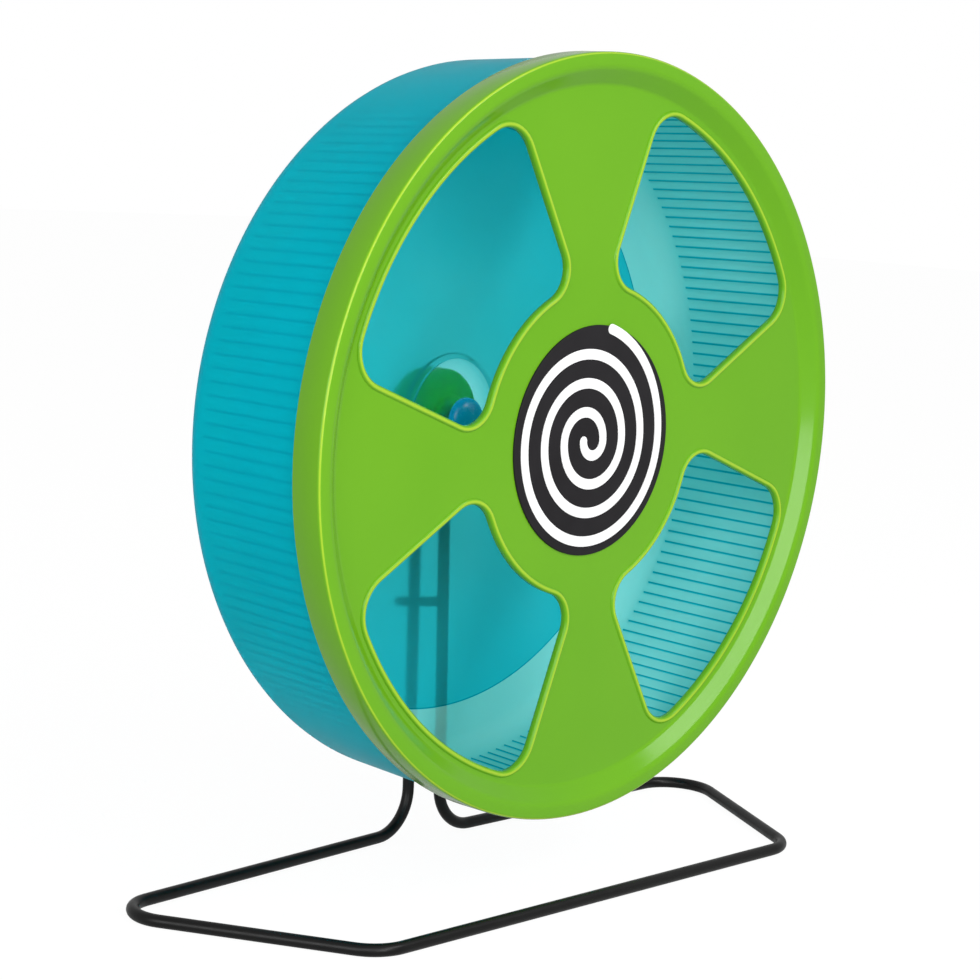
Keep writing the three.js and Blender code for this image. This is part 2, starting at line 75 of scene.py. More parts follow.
def arc(centre_radius, centre_depth, radius, start, end, steps):
    """Profile points along an arc, angles in degrees from the outward direction to the back."""
    angles = [math.radians(start + (end - start) * step / steps) for step in range(steps + 1)]
    return [(centre_radius + radius * math.cos(a), centre_depth + radius * math.sin(a)) for a in angles]


print("axle", [round(value, 5) for value in axle])

# %% [markdown]
# ## Turning a profile
# Most pieces here are round, and the quickest way to a round piece is to draw half of its section
# and spin it about the axle. The spin merges its last ring with its first, points on the axle are
# merged into one pole, and the normals are then recalculated, because a spin can turn them inwards.

# %% Spin helper
ROUND_STEPS = 256
WELD = 0.002 * MM
SHARP = math.radians(32)


def turn(points, steps=ROUND_STEPS, closed=True):
    """A bmesh of the profile spun once round the axle."""
    bm = bmesh.new()
    verts = [bm.verts.new(at(radius, depth)) for radius, depth in points]
    pairs = list(zip(verts, verts[1:]))
    if closed:
        pairs.append((verts[-1], verts[0]))
    edges = [bm.edges.new(pair) for pair in pairs]
    bmesh.ops.spin(bm, geom=verts + edges, cent=axle, axis=AXLE_LINE, dvec=(0, 0, 0),
                   angle=TAU, steps=steps, use_merge=True, use_duplicate=False)
    bmesh.ops.remove_doubles(bm, verts=bm.verts, dist=WELD)
    bmesh.ops.recalc_face_normals(bm, faces=bm.faces)
    return bm


def as_piece(name, bm, material, sharp=SHARP):
    """The bmesh as an object at the origin, smooth except along edges sharper than the limit."""
    for face in bm.faces:
        face.smooth = True
    for edge in bm.edges:
        edge.smooth = len(edge.link_faces) == 2 and edge.calc_face_angle(0) < sharp
    mesh = bpy.data.meshes.new(name)
    bm.to_mesh(mesh)
    bm.free()
    mesh.materials.append(material)
    piece = bpy.data.objects.new(name, mesh)
    bpy.context.scene.collection.objects.link(piece)
    print(name, len(mesh.vertices), "points", len(mesh.polygons), "faces")
    return piece


def place(piece, body, slot, *nodes):
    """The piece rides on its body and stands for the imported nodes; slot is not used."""
    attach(piece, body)
    if nodes:
        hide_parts(*nodes)


# %% [markdown]
# ## Finishes
# Every surface is one Principled shader with nodes that vary its colour, gloss and grain. The
# patterns read Object coordinates, so they stay on the piece when the wheel turns. A value that is
# the same all over is set on the shader's own socket.

# %% Material helpers
NOISE_LOW = 0.3
NOISE_HIGH = 0.7
COLOUR_DRIFT = 0.1


def paint(red, green, blue):
    """A colour as it is read off a screen, 0 to 255, as the linear colour that a shader takes."""
    shares = [value / 255 for value in (red, green, blue)]
    linear = [s / 12.92 if s <= 0.04045 else ((s + 0.055) / 1.055) ** 2.4 for s in shares]
    return (*linear, 1)


def new_finish(name, roughness=0.5, metallic=0, specular=0.5):
    """A material and its shader; the three values hold where nothing is linked to their sockets."""
    material = bpy.data.materials.new(name)
    material.use_nodes = True
    shader = material.node_tree.nodes["Principled BSDF"]
    shader.inputs["Roughness"].default_value = roughness
    shader.inputs["Metallic"].default_value = metallic
    shader.inputs["Specular IOR Level"].default_value = specular
    print("finish", name)
    return material, shader


def noise(tree, scale):
    """The value of a noise on Object coordinates; scale is in waves to the metre."""
    coordinates = tree.nodes.new("ShaderNodeTexCoord")
    pattern = tree.nodes.new("ShaderNodeTexNoise")
    pattern.inputs["Scale"].default_value = scale
    tree.links.new(coordinates.outputs["Object"], pattern.inputs["Vector"])
    return pattern.outputs["Fac"]


def vary_colour(shader, first, second, scale):
    """The base colour wanders between two close colours."""
    tree = shader.id_data
    ramp = tree.nodes.new("ShaderNodeValToRGB")
    ramp.color_ramp.elements[0].position = NOISE_LOW
    ramp.color_ramp.elements[0].color = first
    ramp.color_ramp.elements[1].position = NOISE_HIGH
    ramp.color_ramp.elements[1].color = second
    tree.links.new(noise(tree, scale), ramp.inputs["Fac"])
    tree.links.new(ramp.outputs["Color"], shader.inputs["Base Color"])


def marked_colour(shader, attribute, stops, scale):
    """The base colour follows a number stored on the points, with a slow drift on top."""
    tree = shader.id_data
    mark = tree.nodes.new("ShaderNodeAttribute")
    mark.attribute_name = attribute
    drift = tree.nodes.new("ShaderNodeMath")
    drift.operation = "MULTIPLY_ADD"
    drift.inputs[1].default_value = COLOUR_DRIFT
    tree.links.new(noise(tree, scale), drift.inputs[0])
    tree.links.new(mark.outputs["Fac"], drift.inputs[2])
    ramp = tree.nodes.new("ShaderNodeValToRGB")
    ramp.color_ramp.elements.remove(ramp.color_ramp.elements[1])
    for position, colour in stops:
        ramp.color_ramp.elements.new(position).color = colour
    ramp.color_ramp.elements[0].color = stops[0][1]
    tree.links.new(drift.outputs["Value"], ramp.inputs["Fac"])
    tree.links.new(ramp.outputs["Color"], shader.inputs["Base Color"])


def vary_gloss(shader, low, high, scale):
    """The roughness wanders between two values."""
    tree = shader.id_data
    span = tree.nodes.new("ShaderNodeMapRange")
    span.inputs["From Min"].default_value = NOISE_LOW
    span.inputs["From Max"].default_value = NOISE_HIGH
    span.inputs["To Min"].default_value = low
    span.inputs["To Max"].default_value = high
    tree.links.new(noise(tree, scale), span.inputs["Value"])
    tree.links.new(span.outputs["Result"], shader.inputs["Roughness"])


def add_grain(shader, scale, height, strength):
    """A fine bump; scale is in waves to the metre and height in millimetres."""
    tree = shader.id_data
    bump = tree.nodes.new("ShaderNodeBump")
    bump.inputs["Strength"].default_value = strength
    bump.inputs["Distance"].default_value = height * MM
    tree.links.new(noise(tree, scale), bump.inputs["Height"])
    tree.links.new(bump.outputs["Normal"], shader.inputs["Normal"])


# %% [markdown]
# ### Green plastic
# The ring is solid-coloured moulded plastic with a clear gloss: its slope mirrors a lamp as a crisp
# pale band. A plain diffuse colour would look like paper, so it keeps a weak sharp reflection, a slow
# drift in colour and a barely visible grain. Its sharp raised edges get a painted yellowish highlight in
# the base colour; a number named edge, stored on the points, marks where it is painted.

# %% Green
green_plastic, green_shader = new_finish("green_plastic", specular=0.25)
# The last, bright stop is the painted yellowish highlight on the marked edges.
marked_colour(green_shader, "edge", [
    (0.02, paint(101, 167, 22)),
    (0.1, paint(110, 173, 28)),
    (1.0, paint(214, 232, 66)),
], scale=14)
vary_gloss(green_shader, low=0.12, high=0.17, scale=60)
add_grain(green_shader, scale=1800, height=0.02, strength=0.25)

# %% [markdown]
# ### Translucent teal plastic
# The drum is tinted and lets light through: the wire behind it shows as a soft dark shape. A mostly
# transmitting shader with some roughness gives that haze, and the part that doesn't transmit gives
# the milky body colour of the plastic. Two numbers stored on the points steer it: the tone runs from a
# pale colour that is painted light, through the plastic's own colour, to a deep colour that is partly
# painted shade, and clear says how much light goes through. The roughness stays in a narrow span,
# so that the haze is even.

# %% Teal
MILKY_PASSES = 0.42
CLEAR_PASSES = 0.97
teal_plastic, teal_shader = new_finish("teal_plastic", specular=0.06)
teal_shader.inputs["IOR"].default_value = 1.1
# The first stop is the painted pale light inside; the last is the deep colour of the painted shade in the
# crease and on the rib crests.
marked_colour(teal_shader, "tone_and_painted_light", [
    (0.05, paint(168, 244, 238)),
    (0.35, paint(50, 206, 216)),
    (0.65, paint(2, 188, 208)),
    (1.0, paint(0, 98, 126)),
], scale=12)
vary_gloss(teal_shader, low=0.285, high=0.325, scale=40)
teal_tree = teal_shader.id_data
clear = teal_tree.nodes.new("ShaderNodeAttribute")
clear.attribute_name = "clear"
passing = teal_tree.nodes.new("ShaderNodeMapRange")
passing.inputs["To Min"].default_value = MILKY_PASSES
passing.inputs["To Max"].default_value = CLEAR_PASSES
teal_tree.links.new(clear.outputs["Fac"], passing.inputs["Value"])
teal_tree.links.new(passing.outputs["Result"], teal_shader.inputs["Transmission Weight"])

# %% [markdown]
# ### Blue cap, black disc and white stripe
# The cap over the bearing is glossy blue plastic. The disc and its stripe are flat and matt, like a
# printed film, so they get a high roughness and a very fine tooth.

# %% Blue, black and white
blue_plastic, blue_shader = new_finish("blue_plastic")
vary_colour(blue_shader, paint(0, 164, 218), paint(6, 174, 228), scale=120)
vary_gloss(blue_shader, low=0.2, high=0.3, scale=300)

black_film, black_shader = new_finish("black_film", roughness=0.6, specular=0.2)
vary_colour(black_shader, paint(24, 22, 25), paint(30, 28, 31), scale=60)
add_grain(black_shader, scale=4000, height=0.01, strength=0.3)

white_film, white_shader = new_finish("white_film", roughness=0.55)
vary_colour(white_shader, paint(246, 246, 246), paint(252, 252, 252), scale=60)
add_grain(white_shader, scale=4000, height=0.01, strength=0.2)

# %% [markdown]
# ### Clamp plastic
# The clamp behind the drum is green as well, but it is only seen through the teal wall, which takes
# out most of its red. Its green is purer than the ring's and painted lighter: painted light, for the light
# that the wall keeps from it.

# %% Clamp green
clamp_green_painted_light, clamp_painted_light_shader = new_finish("clamp_green_painted_light")
vary_colour(clamp_painted_light_shader, paint(96, 248, 40), paint(106, 252, 48), scale=60)
vary_gloss(clamp_painted_light_shader, low=0.24, high=0.34, scale=90)

# %% [markdown]
# ### Powder-coated wire and bare steel
# Powder coat flows into a faint orange peel about a millimetre across and keeps a semi-gloss. The
# bearing's steel is ground bright, and the bolt, nut and washer are zinc plated and a little dull.

# %% Coat, steel and zinc
black_coat, coat_shader = new_finish("black_coat", specular=0.25)
vary_colour(coat_shader, paint(5, 5, 5), paint(9, 9, 9), scale=90)
vary_gloss(coat_shader, low=0.3, high=0.42, scale=200)
add_grain(coat_shader, scale=900, height=0.05, strength=0.35)

bright_steel, steel_shader = new_finish("bright_steel", metallic=1)
vary_colour(steel_shader, paint(196, 198, 202), paint(212, 214, 217), scale=400)
vary_gloss(steel_shader, low=0.14, high=0.26, scale=900)

zinc_plate, zinc_shader = new_finish("zinc_plate", metallic=1)
vary_colour(zinc_shader, paint(176, 180, 184), paint(200, 203, 206), scale=500)
vary_gloss(zinc_shader, low=0.3, high=0.46, scale=700)
add_grain(zinc_shader, scale=3500, height=0.01, strength=0.3)

nylon, nylon_shader = new_finish("nylon", roughness=0.5)
vary_colour(nylon_shader, paint(214, 222, 230), paint(224, 230, 236), scale=500)

# %% [markdown]
# ## Drum
# The drum is one deep pan: a slightly tapered wall, a rounded corner and a flat back with a shallow
# recess and a bearing boss in its middle. Its whole section is one closed profile, so it is spun in
# one go and the wall has its true thickness, which the light passing through it needs. Outside a fine
# crease, the back wall rises a little towards the corner; from there on, its inside is painted paler as
# painted light.

# %% Drum sizes
DRUM_RIM_RADIUS = 138
DRUM_WALL = 2
DRUM_TAPER = 1.9
DRUM_FRONT = 2.5
DRUM_DEPTH = 76
DRUM_CORNER = 12
SKIRT_DEPTH = 13
DRUM_BACK_RADIUS = DRUM_RIM_RADIUS - DRUM_TAPER
BACK_WALL = DRUM_DEPTH - DRUM_WALL
CREASE_RADIUS = 113.5
CREASE_WIDTH = 0.4
CONE_RISE = 0.9
BAND_CORNER = DRUM_CORNER - CONE_RISE
CORNER_CENTRE = (DRUM_BACK_RADIUS - BAND_CORNER, DRUM_DEPTH - DRUM_CORNER)
RECESS_RADIUS = 23
RECESS_OUTER = 24.8
RECESS_FLOOR = 77.3
RECESS_BACK = 79.1
RECESS_CORNER = 1.5
SOFT_EDGE = 1
CORNER_STEPS = 10
INNER_CORNER_STEPS = 9
RECESS_STEPS = 4
SOFT_STEPS = 3
BOSS_RADIUS = 8.4
BOSS_BORE = 6.8
BOSS_FRONT = 69.5
BOSS_CHAMFER = 0.3
FLOOR_HOLE = 5.15
BEARING_FRONT = 71.3
BEARING_BACK = 76.3

# %% [markdown]
# The tread's ribs are fine ridges along the axle. Each takes four columns of the spin: a crest, a
# shoulder close to it on each side, and one column in the valley. After the spin, the shoulders are
# rotated towards their crest and the crest is moved inwards, so the ribs are part of the wall.

# %% Rib sizes
RIB_COUNT = 176
COLUMNS_PER_RIB = 4
RIB_HALF_WIDTH = 0.6
RIB_HEIGHT = 0.6
RIB_RUN = 0.4
RIB_INSET = 11
RIB_FRONT = DRUM_FRONT + RIB_INSET
RIB_BACK = DRUM_DEPTH - DRUM_CORNER
RIB_SHARP = math.radians(50)


def inner_wall(depth):
    """Radius of the tread at a depth: the wall tapers from the skirt's edge to the corner."""
    share = (depth - SKIRT_DEPTH) / (CORNER_CENTRE[1] - SKIRT_DEPTH)
    return DRUM_RIM_RADIUS - DRUM_WALL - DRUM_TAPER * share


# %% Drum profile
rib_rows = [RIB_BACK - RIB_RUN, (RIB_BACK + RIB_FRONT) / 2, RIB_FRONT + RIB_RUN]
drum_profile = [
    (DRUM_RIM_RADIUS, DRUM_FRONT),
    (DRUM_RIM_RADIUS, SKIRT_DEPTH),
    *arc(*CORNER_CENTRE, BAND_CORNER, 0, 90, CORNER_STEPS),
    (CREASE_RADIUS, DRUM_DEPTH),
    *arc(RECESS_OUTER + SOFT_EDGE, DRUM_DEPTH + SOFT_EDGE, SOFT_EDGE, 270, 180, SOFT_STEPS),
    *arc(RECESS_OUTER - SOFT_EDGE, RECESS_BACK - SOFT_EDGE, SOFT_EDGE, 0, 90, SOFT_STEPS),
    (FLOOR_HOLE, RECESS_BACK),
    (FLOOR_HOLE, BEARING_BACK),
    (BOSS_BORE, BEARING_BACK),
    (BOSS_BORE, BOSS_FRONT + BOSS_CHAMFER),
    (BOSS_BORE + BOSS_CHAMFER, BOSS_FRONT),
    (BOSS_RADIUS - BOSS_CHAMFER, BOSS_FRONT),
    (BOSS_RADIUS, BOSS_FRONT + BOSS_CHAMFER),
    *arc(BOSS_RADIUS + SOFT_EDGE, RECESS_FLOOR - SOFT_EDGE, SOFT_EDGE, 180, 90, SOFT_STEPS),
    *arc(RECESS_RADIUS - RECESS_CORNER, RECESS_FLOOR - RECESS_CORNER, RECESS_CORNER, 90, 0, RECESS_STEPS),
    *arc(RECESS_RADIUS + SOFT_EDGE, BACK_WALL + SOFT_EDGE, SOFT_EDGE, 180, 270, SOFT_STEPS),
    (CREASE_RADIUS - CREASE_WIDTH, BACK_WALL),
    (CREASE_RADIUS, BACK_WALL),
    (CREASE_RADIUS + CREASE_WIDTH, BACK_WALL),
    *arc(*CORNER_CENTRE, BAND_CORNER - DRUM_WALL, 90, 0, INNER_CORNER_STEPS),
    *[(inner_wall(depth), depth) for depth in rib_rows],
    (inner_wall(RIB_FRONT), RIB_FRONT),
    (inner_wall(SKIRT_DEPTH), SKIRT_DEPTH),
    (DRUM_RIM_RADIUS - DRUM_WALL, DRUM_FRONT),
]
print("drum profile", len(drum_profile), "points")

# %% [markdown]
# Tinted plastic looks deeper where it is thicker or seen from outside. Each point gets its tone and
# its clearness while the mesh is a bmesh: the crests of the ribs are deep, partly for their thicker
# plastic and partly as painted shade along each ridge; the crease gets a painted dark line of shade;
# the tread and the corner inside are milky and painted pale, as painted light; and the floor of the
# recess is thin and clear enough to show the clamp, its paler tone partly thin plastic and partly
# painted light on the clamp seen through it.

# %% Drum
PAINTED_LIGHT_PALE = 0
TONE_WALL = 0.3
TONE_OUTSIDE = 0.6
PAINTED_CREASE_SHADE = 0.95
THICK_AND_SHADED_CREST = 0.86
THIN_RECESS_PAINTED_LIGHT = 0.1
CLEAR_WALL = 0.4
CLEAR_OUTSIDE = 0.15
column_angle = TAU / (RIB_COUNT * COLUMNS_PER_RIB)
shoulder_angle = RIB_HALF_WIDTH / inner_wall(RIB_BACK)
drum_bm = turn(drum_profile, RIB_COUNT * COLUMNS_PER_RIB)
tone_and_light_layer = drum_bm.verts.layers.float.new("tone_and_painted_light")
clear_layer = drum_bm.verts.layers.float.new("clear")
columns = {}
for vert in drum_bm.verts:
    away = vert.co - axle
    radius, depth = math.hypot(away.x, away.z) / MM, away.y / MM
    vert[tone_and_light_layer] = TONE_WALL
    vert[clear_layer] = CLEAR_WALL
    # The recess floor is paler: partly its thin plastic, partly painted light for the clamp seen through
    # it.
    if radius < RECESS_RADIUS:
        vert[tone_and_light_layer], vert[clear_layer] = THIN_RECESS_PAINTED_LIGHT, 1
    reach = math.hypot(radius - CORNER_CENTRE[0], depth - CORNER_CENTRE[1])
    in_corner = radius > CORNER_CENTRE[0] and depth > CORNER_CENTRE[1] - WELD
    if in_corner:
        outside = reach > BAND_CORNER - DRUM_WALL / 2
    else:
        outside = radius > inner_wall(depth) + DRUM_WALL / 2 or depth > BACK_WALL + DRUM_WALL / 2
    # Beyond the crease, the inside of the tread and corner is painted pale as painted light; the outer
    # faces keep the deeper outside tone.
    if radius > CREASE_RADIUS - CREASE_WIDTH / 2:
        vert[tone_and_light_layer] = TONE_OUTSIDE if outside else PAINTED_LIGHT_PALE
        vert[clear_layer] = CLEAR_OUTSIDE if outside else 0
    # The crease gets a painted dark line of shade.
    if abs(radius - CREASE_RADIUS) < CREASE_WIDTH / 2 and not outside:
        vert[tone_and_light_layer] = PAINTED_CREASE_SHADE
    column = round(math.atan2(away.z, away.x) / column_angle) % COLUMNS_PER_RIB
    columns.setdefault(column, []).append(vert)
tuck = column_angle - shoulder_angle
for column, angle in ((1, tuck), (COLUMNS_PER_RIB - 1, -tuck)):
    bmesh.ops.rotate(drum_bm, verts=columns[column], cent=axle, matrix=Matrix.Rotation(angle, 3, "Y"))
for vert in columns[0]:
    away = vert.co - axle
    depth = away.y / MM
    away.y = 0
    on_tread = RIB_FRONT + RIB_RUN / 2 < depth < RIB_BACK - RIB_RUN / 2
    if on_tread and away.length / MM < inner_wall(depth) + DRUM_WALL / 2:
        vert.co -= away.normalized() * RIB_HEIGHT * MM
        # Rib crests are deeper: partly their thicker plastic, partly painted shade along each ridge.
        vert[tone_and_light_layer] = THICK_AND_SHADED_CREST
drum = as_piece("ribbed_drum", drum_bm, teal_plastic, RIB_SHARP)
place(drum, "wheel", "teal_plastic", "drum")

# %% [markdown]
# ## Spoked ring
# The ring is pressed over the drum's rim. From the edge inwards it has a skirt, a flat lip, a
# slope down to the spoke plane, and the flat plate. Rounds join them, as in any moulding. The plate
# is spun whole and its four windows are cut out with a Boolean, because their outlines are arcs and
# lines that a spin can't make.

# %% Ring sizes
RING_RADIUS = 140
RIM_ROUND = 1.2
LIP_WIDTH = 5.6
SLOPE_DEPTH = 5
SLOPE_WIDTH = 5.9
SLOPE_TOP_ROUND = 4
SLOPE_FOOT_ROUND = 2.5
WEB_THICKNESS = 2.2
RING_WALL = 1.7
SKIRT_ROUND = 0.4
FOOT_STEPS = 5
RIM_STEPS = 6
SKIRT_STEPS = 2
WEB_BACK = SLOPE_DEPTH + WEB_THICKNESS
LIP_RADIUS = RING_RADIUS - LIP_WIDTH
SLOPE_RADIUS = LIP_RADIUS - SLOPE_WIDTH
slope_degrees = math.degrees(math.atan2(SLOPE_DEPTH, SLOPE_WIDTH))
round_share = math.tan(math.radians(slope_degrees / 2))
foot_radius = SLOPE_RADIUS - SLOPE_FOOT_ROUND * round_share
top_radius = LIP_RADIUS + SLOPE_TOP_ROUND * round_share
ring_profile = [
    (0, SLOPE_DEPTH),
    (foot_radius - SKIRT_ROUND, SLOPE_DEPTH),
    *arc(foot_radius, SLOPE_DEPTH - SLOPE_FOOT_ROUND, SLOPE_FOOT_ROUND,
         90, 90 - slope_degrees, FOOT_STEPS),
    *arc(top_radius, SLOPE_TOP_ROUND, SLOPE_TOP_ROUND, -90 - slope_degrees, -90, RIM_STEPS),
    *arc(RING_RADIUS - RIM_ROUND, RIM_ROUND, RIM_ROUND, -90, 0, RIM_STEPS),
    *arc(RING_RADIUS - SKIRT_ROUND, SKIRT_DEPTH - SKIRT_ROUND, SKIRT_ROUND, 0, 90, SKIRT_STEPS),
    *arc(RING_RADIUS - RING_WALL + SKIRT_ROUND, SKIRT_DEPTH - SKIRT_ROUND, SKIRT_ROUND,
         90, 180, SKIRT_STEPS),
    (RING_RADIUS - RING_WALL, WEB_THICKNESS),
    (LIP_RADIUS, WEB_THICKNESS),
    (SLOPE_RADIUS, WEB_BACK),
    (foot_radius - SKIRT_ROUND, WEB_BACK),
    (0, WEB_BACK),
]
print("slope", round(slope_degrees, 1), "degrees")

# %% [markdown]
# A window is bounded by an arc near the rim, an arc round the hub and two straight spoke sides,
# with a fillet in each corner. One function gives the outline grown by any margin, so the cut and
# every line of the raised bead come from the same sizes.

# %% Window outline
WINDOW_COUNT = 4
WINDOW_OUTER_RADIUS = 124.6
WINDOW_INNER_RADIUS = 58
SPOKE_FLARE_START = 37
SPOKE_FLARE = math.radians(25.3)
OUTER_FILLET = 12.5
INNER_FILLET = 11
REST_TURN = math.radians(5.2)
FIRST_WINDOW = REST_TURN + TAU / WINDOW_COUNT / 2
OUTER_ARC_STEPS = 20
INNER_ARC_STEPS = 8
FILLET_STEPS = 10


def plane_arc(centre, radius, start, end, steps):
    """Points of an arc in the window's plane, angles in radians."""
    angles = [start + (end - start) * step / steps for step in range(steps + 1)]
    return [centre + Vector((math.cos(a), math.sin(a))) * radius for a in angles]


def window_outline(margin):
    """Points of the outline about the +X direction, in millimetres, grown by the margin."""
    outer_radius = WINDOW_OUTER_RADIUS + margin
    inner_radius = WINDOW_INNER_RADIUS - margin
    outer_fillet = OUTER_FILLET + margin
    inner_fillet = INNER_FILLET + margin
    spoke = math.pi / WINDOW_COUNT
    side = spoke - SPOKE_FLARE
    along = Vector((math.cos(side), math.sin(side)))
    inward = Vector((math.sin(side), -math.cos(side)))
    start = Vector((math.cos(spoke), math.sin(spoke))) * SPOKE_FLARE_START - inward * margin

    def fillet_centre(fillet, centre_radius):
        """The centre that touches the spoke's side and lies at the radius from the axle."""
        base = start + inward * fillet
        run = base.dot(along)
        reach = math.sqrt(run ** 2 - base.length_squared + centre_radius ** 2)
        return base + along * (reach - run)

    outer = fillet_centre(outer_fillet, outer_radius - outer_fillet)
    inner = fillet_centre(inner_fillet, inner_radius + inner_fillet)
    outer_angle = math.atan2(outer.y, outer.x)
    inner_angle = math.atan2(inner.y, inner.x)
    normal = side + math.pi / 2
    middle = Vector((0, 0))
    half = [
        *plane_arc(middle, outer_radius, 0, outer_angle, OUTER_ARC_STEPS)[1:],
        *plane_arc(outer, outer_fillet, outer_angle, normal, FILLET_STEPS)[1:],
        *plane_arc(inner, inner_fillet, normal, inner_angle + math.pi, FILLET_STEPS),
        *plane_arc(middle, inner_radius, inner_angle, 0, INNER_ARC_STEPS)[1:-1],
    ]
    ends = [Vector((inner_radius, 0)), Vector((outer_radius, 0))]
    mirrored = [Vector((point.x, -point.y)) for point in reversed(half)]
    return [ends[1], *half, ends[0], *mirrored]


def window_points(margin, depth, index):
    """The outline's points in one window, at one depth."""
    spin_to = Matrix.Rotation(FIRST_WINDOW + index * TAU / WINDOW_COUNT, 2)
    flat_points = [spin_to @ point for point in window_outline(margin)]
    return [axle + Vector((flat.x, depth, flat.y)) * MM for flat in flat_points]


def closed_loop(bm, points):
    """The points joined by a closed loop of edges."""
    verts = [bm.verts.new(point) for point in points]
    return [bm.edges.new(pair) for pair in zip(verts, [*verts[1:], verts[0]])]


# %% Cut the windows
CUT_MARGIN = 1.1
CUT_OVERRUN = 4


def points_in(geometry):
    """The points in a mixed list of points, edges and faces."""
    return [item for item in geometry if isinstance(item, bmesh.types.BMVert)]


def applied(piece):
    """The piece's mesh with its modifiers applied, as a bmesh; the piece itself is removed."""
    bpy.context.view_layer.update()
    bm = bmesh.new()
    bm.from_object(piece, bpy.context.evaluated_depsgraph_get())
    bpy.data.objects.remove(piece)
    return bm


uncut = as_piece("uncut_ring", turn(ring_profile, closed=False), green_plastic)
cutter_bm = bmesh.new()
for index in range(WINDOW_COUNT):
    loop = closed_loop(cutter_bm, window_points(CUT_MARGIN, SLOPE_DEPTH - CUT_OVERRUN, index))
    lid = bmesh.ops.contextual_create(cutter_bm, geom=loop)["faces"]
    grown = bmesh.ops.extrude_face_region(cutter_bm, geom=lid)["geom"]
    reach = Vector((0, (WEB_THICKNESS + 2 * CUT_OVERRUN) * MM, 0))
    bmesh.ops.translate(cutter_bm, verts=points_in(grown), vec=reach)
bmesh.ops.recalc_face_normals(cutter_bm, faces=cutter_bm.faces)
cutter = as_piece("window_cutter", cutter_bm, green_plastic)
cut = uncut.modifiers.new("windows", "BOOLEAN")
cut.operation = "DIFFERENCE"
cut.solver = "EXACT"
cut.object = cutter
ring_bm = applied(uncut)
bpy.data.objects.remove(cutter)

# %% [markdown]
# The round where the lip meets the skirt is thin and sharp; its bright line is a painted highlight in the
# base colour.

# %% Ring
PAINTED_HIGHLIGHT = 0.4
HIGHLIGHT_FROM = 0.1
HIGHLIGHT_TO = 0.5
# Points on the lip's outer round get the painted highlight.
lip_highlight_layer = ring_bm.verts.layers.float.new("edge")
for vert in ring_bm.verts:
    away = vert.co - axle
    at_rim = math.hypot(away.x, away.z) / MM > RING_RADIUS - RIM_ROUND
    vert[lip_highlight_layer] = PAINTED_HIGHLIGHT if at_rim and HIGHLIGHT_FROM < away.y / MM < HIGHLIGHT_TO else 0
ring = as_piece("spoked_ring", ring_bm, green_plastic)
place(ring, "wheel", "green_plastic", "front_ring")

# %% [markdown]
# Each window is edged by a raised, rounded bead that also forms the cut edge of the plate. Its
# section is a short list of margins and depths. The first gives a loop round the window, and for
# each of the others the loop is extruded and its new points are moved out to their place. Bridging
# ready loops looks simpler, but two loops almost in one plane can be joined the wrong way round.

# %% Window beads
BEAD_WIDTH = 2.4
BEAD_HEIGHT = 0.8
BEAD_FOOT = 0.3
BEAD_STEPS = 7
CROWN_SHARE = 0.8
BEAD_SHARP = math.radians(60)
bead_crown = []
for step in range(BEAD_STEPS + 1):
    angle = math.pi * step / BEAD_STEPS
    bead_crown.append((BEAD_WIDTH * (1 - math.cos(angle)) / 2,
                       SLOPE_DEPTH + BEAD_FOOT - (BEAD_HEIGHT + BEAD_FOOT) * math.sin(angle)))
bead_section = [
    *bead_crown,
    (BEAD_WIDTH, WEB_BACK - BEAD_FOOT),
    (BEAD_WIDTH - BEAD_FOOT, WEB_BACK),
    (BEAD_WIDTH / 2, WEB_BACK + BEAD_FOOT / 3),
    (BEAD_FOOT, WEB_BACK),
    (0, WEB_BACK - BEAD_FOOT),
]
bead_bm = bmesh.new()
for index in range(WINDOW_COUNT):
    points = window_points(*bead_section[0], index)
    edges = closed_loop(bead_bm, points)
    for margin, depth in [*bead_section[1:], bead_section[0]]:
        grown = bmesh.ops.extrude_edge_only(bead_bm, edges=edges)["geom"]
        edges = [item for item in grown if isinstance(item, bmesh.types.BMEdge)]
        moved = dict(zip(map(tuple, points), window_points(margin, depth, index)))
        for vert in points_in(grown):
            vert.co = moved[tuple(vert.co)]
        points = list(moved.values())
bmesh.ops.remove_doubles(bead_bm, verts=bead_bm.verts, dist=WELD)
bmesh.ops.recalc_face_normals(bead_bm, faces=bead_bm.faces)
# Points on the bead crowns get the painted highlight.
crown_highlight_layer = bead_bm.verts.layers.float.new("edge")
for vert in bead_bm.verts:
    on_crown = (vert.co.y - axle.y) / MM < SLOPE_DEPTH - BEAD_HEIGHT * CROWN_SHARE
    vert[crown_highlight_layer] = PAINTED_HIGHLIGHT if on_crown else 0
beads = as_piece("window_beads", bead_bm, green_plastic, BEAD_SHARP)
place(beads, "wheel", "green_plastic")

# %% [markdown]
# ## Spiral on its disc
# The disc is a thin film with a slightly rounded edge. The stripe on it is drawn the way a spiral is
# drawn with compasses: half circles whose centres alternate between two points, each half circle
# one half pitch smaller than the last. A short edge across the stripe is spun through each of them.

# %% Disc
DISC_RADIUS = 42.4
DISC_THICKNESS = 0.8
DISC_ROUND = 0.3
disc_front = SLOPE_DEPTH - DISC_THICKNESS
disc = as_piece("spiral_backing", turn([
    (0, disc_front),
    *arc(DISC_RADIUS - DISC_ROUND, disc_front + DISC_ROUND, DISC_ROUND, -90, 0, SOFT_STEPS),
    (DISC_RADIUS, SLOPE_DEPTH),
    (0, SLOPE_DEPTH),
], closed=False), black_film)
place(disc, "wheel", "black_plastic", "spiral_disc")

